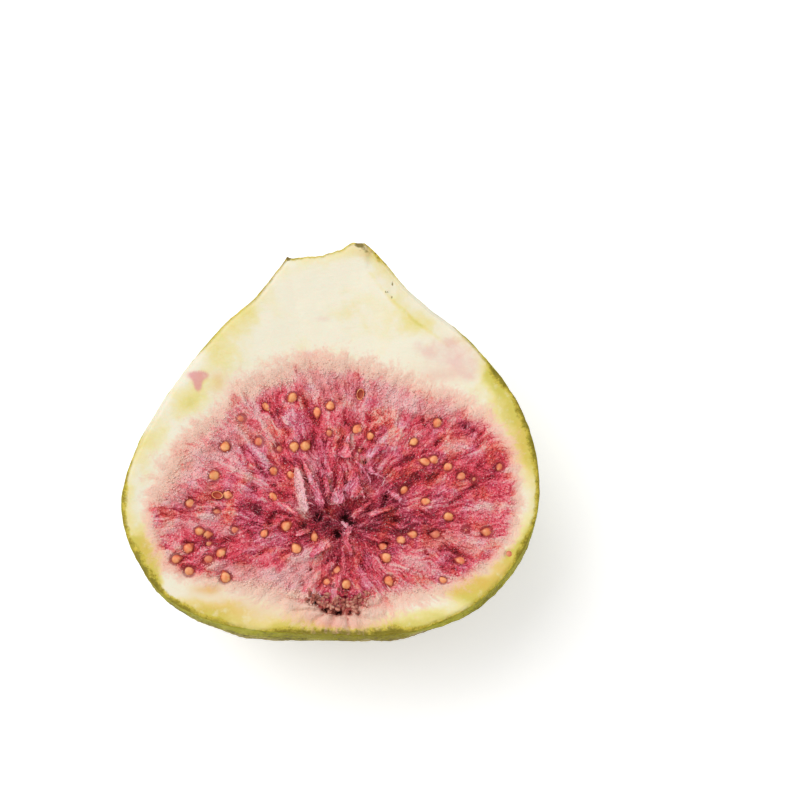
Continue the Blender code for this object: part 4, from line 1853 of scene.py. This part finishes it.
@dataclass
class Seeds:
    """The seeds, each with its tail towards the hollow, and the cut shells of some."""

    body: FigBody
    profile: Line = (
        (0.0, -0.62), (0.24, -0.58), (0.44, -0.44), (0.57, -0.2), (0.575, 0.08), (0.45, 0.34),
        (0.27, 0.55), (0.12, 0.74), (0.0, 0.86),
    )
    shell: Line = (
        (0.0, -0.3), (0.4, -0.26), (0.58, 0.0), (0.63, 0.2), (0.57, 0.27), (0.5, 0.2),
        (0.42, 0.0), (0.22, -0.1), (0.0, -0.12),
    )
    thickness: float = 0.56
    stand: float = 0.14        # how far a seed's middle stands over the pulp
    shell_stand: float = 0.3   # and how much further a shell's does
    level: float = 0.3         # of the pulp round the seeds, under the rim
    seed: int = 3

    def spots(self, picked: list[Seed]) -> Shape:
        """Where some of the seeds lie.

        Args:
            picked: The seeds.

        Returns:
            Their places with the way each leans, its size and how veiled it is.
        """
        chance = np.random.default_rng(self.seed)
        at = VIEW.on_plane([(s.x, s.y) for s in picked], self.body.depth - self.level)
        sunk = np.array([s.sunk for s in picked])
        raised = np.array([self.shell_stand * s.open for s in picked])
        level = self.body.height_at(at) + self.stand + raised - sunk * 0.8
        inward = self.body.centre - at
        turn = np.arctan2(inward[:, 1], inward[:, 0]) + np.radians([s.turn for s in picked])
        count = len(picked)
        roll = chance.uniform(-0.3, 0.3, count)
        lean = np.column_stack([roll, chance.uniform(-0.25, 0.3, count), turn])
        sizes = np.array([[s.size * s.long, s.size, s.size] for s in picked])
        sizes = sizes * chance.uniform(0.95, 1.05, (count, 3))
        values = {"lean": lean, "size": sizes, "veil": np.clip(sunk * 2.2, 0, 1)}
        return Shape(np.column_stack([at, level]), [], values)

    def grow(self, planting: Planting) -> list[Object]:
        """Makes the seeds and the open shells.

        Args:
            planting: What puts them in place.

        Returns:
            The two pieces.
        """
        whole = Shape.lathe(self.profile, 12)
        x, y, z = whole.points.T
        whole.points = np.column_stack([z, y, x * self.thickness])
        whole.faces = [face[::-1] for face in whole.faces]
        # Height on the seed, by which the finish darkens its lower sides, partly as painted shade
        whole.values["level"] = whole.points[:, 2] / 0.76 + 0.5
        cut = Shape.lathe(self.shell, 14)
        cut.points *= (1.4, 0.9, 1.0)
        # The shell's lip stays tan; lower down it is darkened, partly as painted shade
        cut.values["level"] = 0.3 + ease(cut.points[:, 2], 0.12, 0.26) * 0.6
        closed = [s for s in SEEDS if not s.open]
        opened = [s for s in SEEDS if s.open]
        return [
            planting.plant(self.spots(closed), whole, "seeds", SeedFinish()),
            planting.plant(self.spots(opened), cut, "seed_shells", SeedFinish()),
        ]


# What the pulp's finish takes the petals for: pulp far inside, with no seed near it
PETAL_VALUES = {"inside": 10.0, "socket": 9.0, "tone": 0.42, "ridge": 0.0}


@dataclass(frozen=True)
class Petal:
    """One torn petal, from its root to its tip by pixels of the photograph."""

    x: float
    y: float
    tip_x: float
    tip_y: float
    width: float
    tone: float
    lift: float = 0.5          # height of its tip over the pulp
    arch: float = 0.3          # height of its middle over a straight line
    sway: float = 0.0          # sideways bow
    blunt: float = 0.5         # width of its tip as a share of its full width
    cool: float = 0.3          # how lilac it is
    cup: float = 0.35          # how much its sides curl up
    thick: float = 0.05        # half its thickness
    level: float = 0.4         # of its ends, under the rim
    stations: int = 12
    sides: int = 10

    def build(self, body: FigBody, chance: np.random.Generator) -> Shape:
        """Makes the petal.

        Args:
            body: What it grows from.
            chance: The source of its small dents.

        Returns:
            The closed shape.
        """
        pixels = [(self.x, self.y), (self.tip_x, self.tip_y)]
        ends = VIEW.on_plane(pixels, body.depth - self.level)
        count = (self.stations, self.sides)
        along = np.linspace(0, 1, self.stations)
        run = ends[1] - ends[0]
        across = np.array([-run[1], run[0]]) / np.linalg.norm(run)
        hump = np.sin(along * math.pi)
        line = ends[0] + run * along[:, None] + across * (hump * self.sway)[:, None]
        low = body.height_at(line)
        level = low[0] + (low.max() - low[0]) * along + self.thick
        level += self.lift * along + self.arch * hump
        taper = np.sin(np.clip(along * 1.15, 0, 1) * math.pi / 2) ** 0.6
        taper *= 1 - (1 - self.blunt) * along**2
        taper *= 0.75 + 0.25 * chance.random(self.stations)
        taper *= 0.8 + 0.4 * chance.random(self.stations)
        half = self.width / 2 * np.maximum(taper, 0.2)[:, None]
        turn = circle(self.sides)
        rise = np.sin(turn) * self.thick + self.cup * half * np.cos(turn) ** 2
        side = np.cos(turn) * half * (1 + chance.normal(0, 0.12, count))
        level = level[:, None] + (rise + chance.normal(0, 0.06, count))
        places = line[:, None, :] + across * side[:, :, None]
        shape = Shape.tube(np.dstack([places, level]))
        middle = np.broadcast_to(1 - abs(np.cos(turn)), (self.stations - 2, self.sides)).ravel()
        middle = np.concatenate([[0.0], middle, [0.5]]) * np.sin(shape.values["along"] * 2.2) ** 0.5
        shape.values["pale"] = (self.tone - 0.5) * 0.6 - 0.2 + middle * 0.3
        shape.values["cool"] = self.cool * middle
        for name, value in PETAL_VALUES.items():
            shape.values[name] = np.full(len(shape.points), value)
        return shape


# The fields of each petal, without the last ones where they are a common petal's
PETALS = [
    (296, 462, 305, 514, 1.5, 1.25, 0.2, 0.4, -0.1, 0.8, 1),
    (302, 458, 317, 493, 0.9, 1, 0.15, 0.3, 0, 0.4, 0.7),
    (308, 470, 322, 507, 1.3, 0.6, 0.3, 0.3, 0, 0.7, 0.6),
    (346, 440, 344, 458, 1.7, 0.66, 0.4, 0.2, 0, 1.3, 0.2),
    (388, 444, 366, 456, 1.5, 0.6, 0.25, 0.2, 0, 0.8, 0.8),
    (340, 482, 337, 505, 1.5, 0.66, 0.6, 0.4, 0, 1.3, 0.7),
    (341, 466, 343, 492, 0.6, 0.45, 0.5, 0.3, 0, 0.5, 0),
    (352, 468, 351, 499, 2.1, 0.56, 0.3, 0.3, 0.2, 0.8, 0.8),
    (349, 455, 371, 481, 0.4, 0.7, 0.3, 0.4, 0.2, 0.5, 0.5),
    (357, 470, 365, 499, 0.45, 0.66, 0.3, 0.4, -0.2, 0.5, 0.5),
    (361, 471, 386, 479, 0.4, 0.66, 0.3, 0.3, 0.2, 0.5, 0.4),
    (366, 461, 373, 473, 0.8, 0.75, 0.4, 0.2, 0, 0.5, 0.6),
    (387, 489, 402, 501, 0.9, 0.72, 0.4, 0.3, 0, 0.5, 0.6),
    (279, 501, 299, 517, 0.7, 0.6, 0.35, 0.3, 0, 0.5, 0),
    (311, 528, 295, 535, 0.8, 0.7, 0.3, 0.3, 0, 0.5, 0.2), (343, 542, 351, 525, 0.9, 0.62, 0.4),
    (308, 558, 331, 542, 1.5, 0.62, 0.1, 0.15, 0.2, 0.6, 0.5),
    (340, 518, 348, 526, 0.6, 1.1, 0.2, 0.2, 0, 0.7, 0), (373, 499, 351, 517, 0.7, 0.5, 0.3),
    (337, 472, 344, 492, 0.7, 0.6, 0.4, 0.3, 0, 0.5, 0.2),
    (346, 422, 348, 443, 0.9, 0.62, 0.1, 0.2),
    (324, 472, 329, 498, 0.8, 0.5, 0.4, 0.3, 0, 0.5, 0.1),
    (392, 508, 368, 515, 0.8, 0.55, 0.3, 0.3, 0, 0.5, 0.2),
    (352, 556, 345, 538, 1.1, 0.5, 0.3, 0.3, 0, 0.5, 0.1),
]


@dataclass
class Petals:
    """The torn petals round the hollow."""

    body: FigBody
    seed: int = 8

    def shape(self) -> Shape:
        """All petals together."""
        chance = np.random.default_rng(self.seed)
        return Shape.joined([Petal(*row).build(self.body, chance) for row in PETALS])

    def grow(self) -> Object:
        """Makes all petals as one piece."""
        return self.shape().make("pulp_petals", ThreadFinish(own_share=0.0).build())


@dataclass
class EyeScales:
    """The small dry scales round the eye."""

    body: FigBody
    line: Line = (
        (310, 595), (318, 600), (328, 603), (340, 604), (352, 603), (364, 599),
    )
    count: int = 130
    spread: float = 0.5            # how far to either side of the line
    size: Pair = (0.4, 0.8)
    width: float = 0.34            # half of it, of a scale 1 mm long
    thickness: float = 0.24        # half of it
    bend: float = 0.2              # how far its tip bends up
    scatter: float = 1.2           # radians away from pointing up or down the picture
    sides: int = 6
    seed: int = 11

    def model(self) -> Shape:
        """A blunt scale, to be sized where it is planted.

        Returns:
            The closed shape, 1 mm long along X.
        """
        along = np.linspace(0, 1, self.sides)[:, None]
        half = self.width * np.sin(np.clip(along * 0.85 + 0.15, 0, 1) * math.pi) ** 0.6
        turn = circle(self.sides)
        level = np.sin(turn) * self.thickness + self.bend * along**2
        return Shape.tube(np.dstack([along + turn * 0, -np.cos(turn) * half, level]))

    def spots(self) -> Shape:
        """Where the scales stand.

        Returns:
            Their places with the way each leans, its size and its tone.
        """
        chance = np.random.default_rng(self.seed)
        count = self.count
        line = smooth_line(VIEW.on_plane(self.line, self.body.depth - 1), count)
        at = line + chance.normal(0, self.spread, (count, 2))
        back = chance.random(count) < 0.5
        turn = np.radians(90.0 + 180 * back) + chance.normal(0, self.scatter, count)
        tip = chance.normal(0, 0.5, count)
        lean = np.column_stack([tip, -chance.uniform(-0.1, 0.5, count), turn])
        size = chance.uniform(*self.size, (count, 1)) * chance.uniform(0.7, 1.2, (count, 3))
        level = self.body.height_at(at) + 0.03
        values = {"lean": lean, "size": size, "tone": chance.uniform(0.1, 1.0, count)}
        return Shape(np.column_stack([at, level]), [], values)

    def grow(self, planting: Planting) -> Object:
        """Makes the scales as one piece."""
        return planting.plant(self.spots(), self.model(), "eye_scales", ScaleFinish())


@dataclass
class Studio:
    """The pale floor and the soft light round the fruit."""

    floor_side: float = 6.0
    sky: Colour = (1.0, 1.0, 1.0, 1.0)
    sky_strength: float = 0.56
    lamp_place: Point = (-0.35, 0.25, 0.6)
    lamp_aim: Point = (0.0, 0.0, 0.02)
    lamp_side: float = 0.7
    lamp_power: float = 3.9

    def build(self) -> None:
        """Makes the floor, the light and the camera."""
        scene = bpy.context.scene
        scene.view_settings.view_transform = "Standard"
        world = bpy.data.worlds.new("studio")
        world.use_nodes = True
        sky = world.node_tree.nodes["Background"]
        sky.inputs["Color"].default_value = self.sky
        sky.inputs["Strength"].default_value = self.sky_strength
        scene.world = world
        corners = np.array([(-1, -1, 0), (1, -1, 0), (1, 1, 0), (-1, 1, 0)]) * self.floor_side
        floor = Shape(corners / 2 / MM, [(0, 1, 2, 3)])
        floor.make("floor", FloorFinish().build())
        data = bpy.data.lights.new("window", "AREA")
        data.size = self.lamp_side
        data.energy = self.lamp_power
        lamp = link(data)
        lamp.location = self.lamp_place
        aim = Vector(self.lamp_place) - Vector(self.lamp_aim)
        lamp.rotation_euler = aim.to_track_quat("Z", "Y").to_euler()
        lamp.visible_camera = False
        VIEW.make_camera()


def main() -> None:
    """Builds the fruit piece by piece, then the studio."""
    logging.basicConfig(level=logging.INFO, format="%(name)s: %(message)s", stream=sys.stdout)
    body = FigBody(Outline())
    flesh = body.build()
    planting = Planting()
    petals = Petals(body)
    threads = [kind.grow(body, body.bed(flesh, petals.shape())) for kind in THREADS]
    pieces = {
        "skin_and_flesh": [flesh],
        "pulp": [*threads, petals.grow(), EyeScales(body).grow(planting)],
        "seed": Seeds(body).grow(planting),
    }
    for slot, made in pieces.items():
        for piece in made:
            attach(piece, BODY)
            faces = sum(len(p.vertices) - 2 for p in piece.data.polygons)
            LOG.info("%s: %d triangles, finish from slot %s", piece.name, faces, slot)
    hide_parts(NODE)
    Studio().build()


if __name__ == "__main__":
    main()
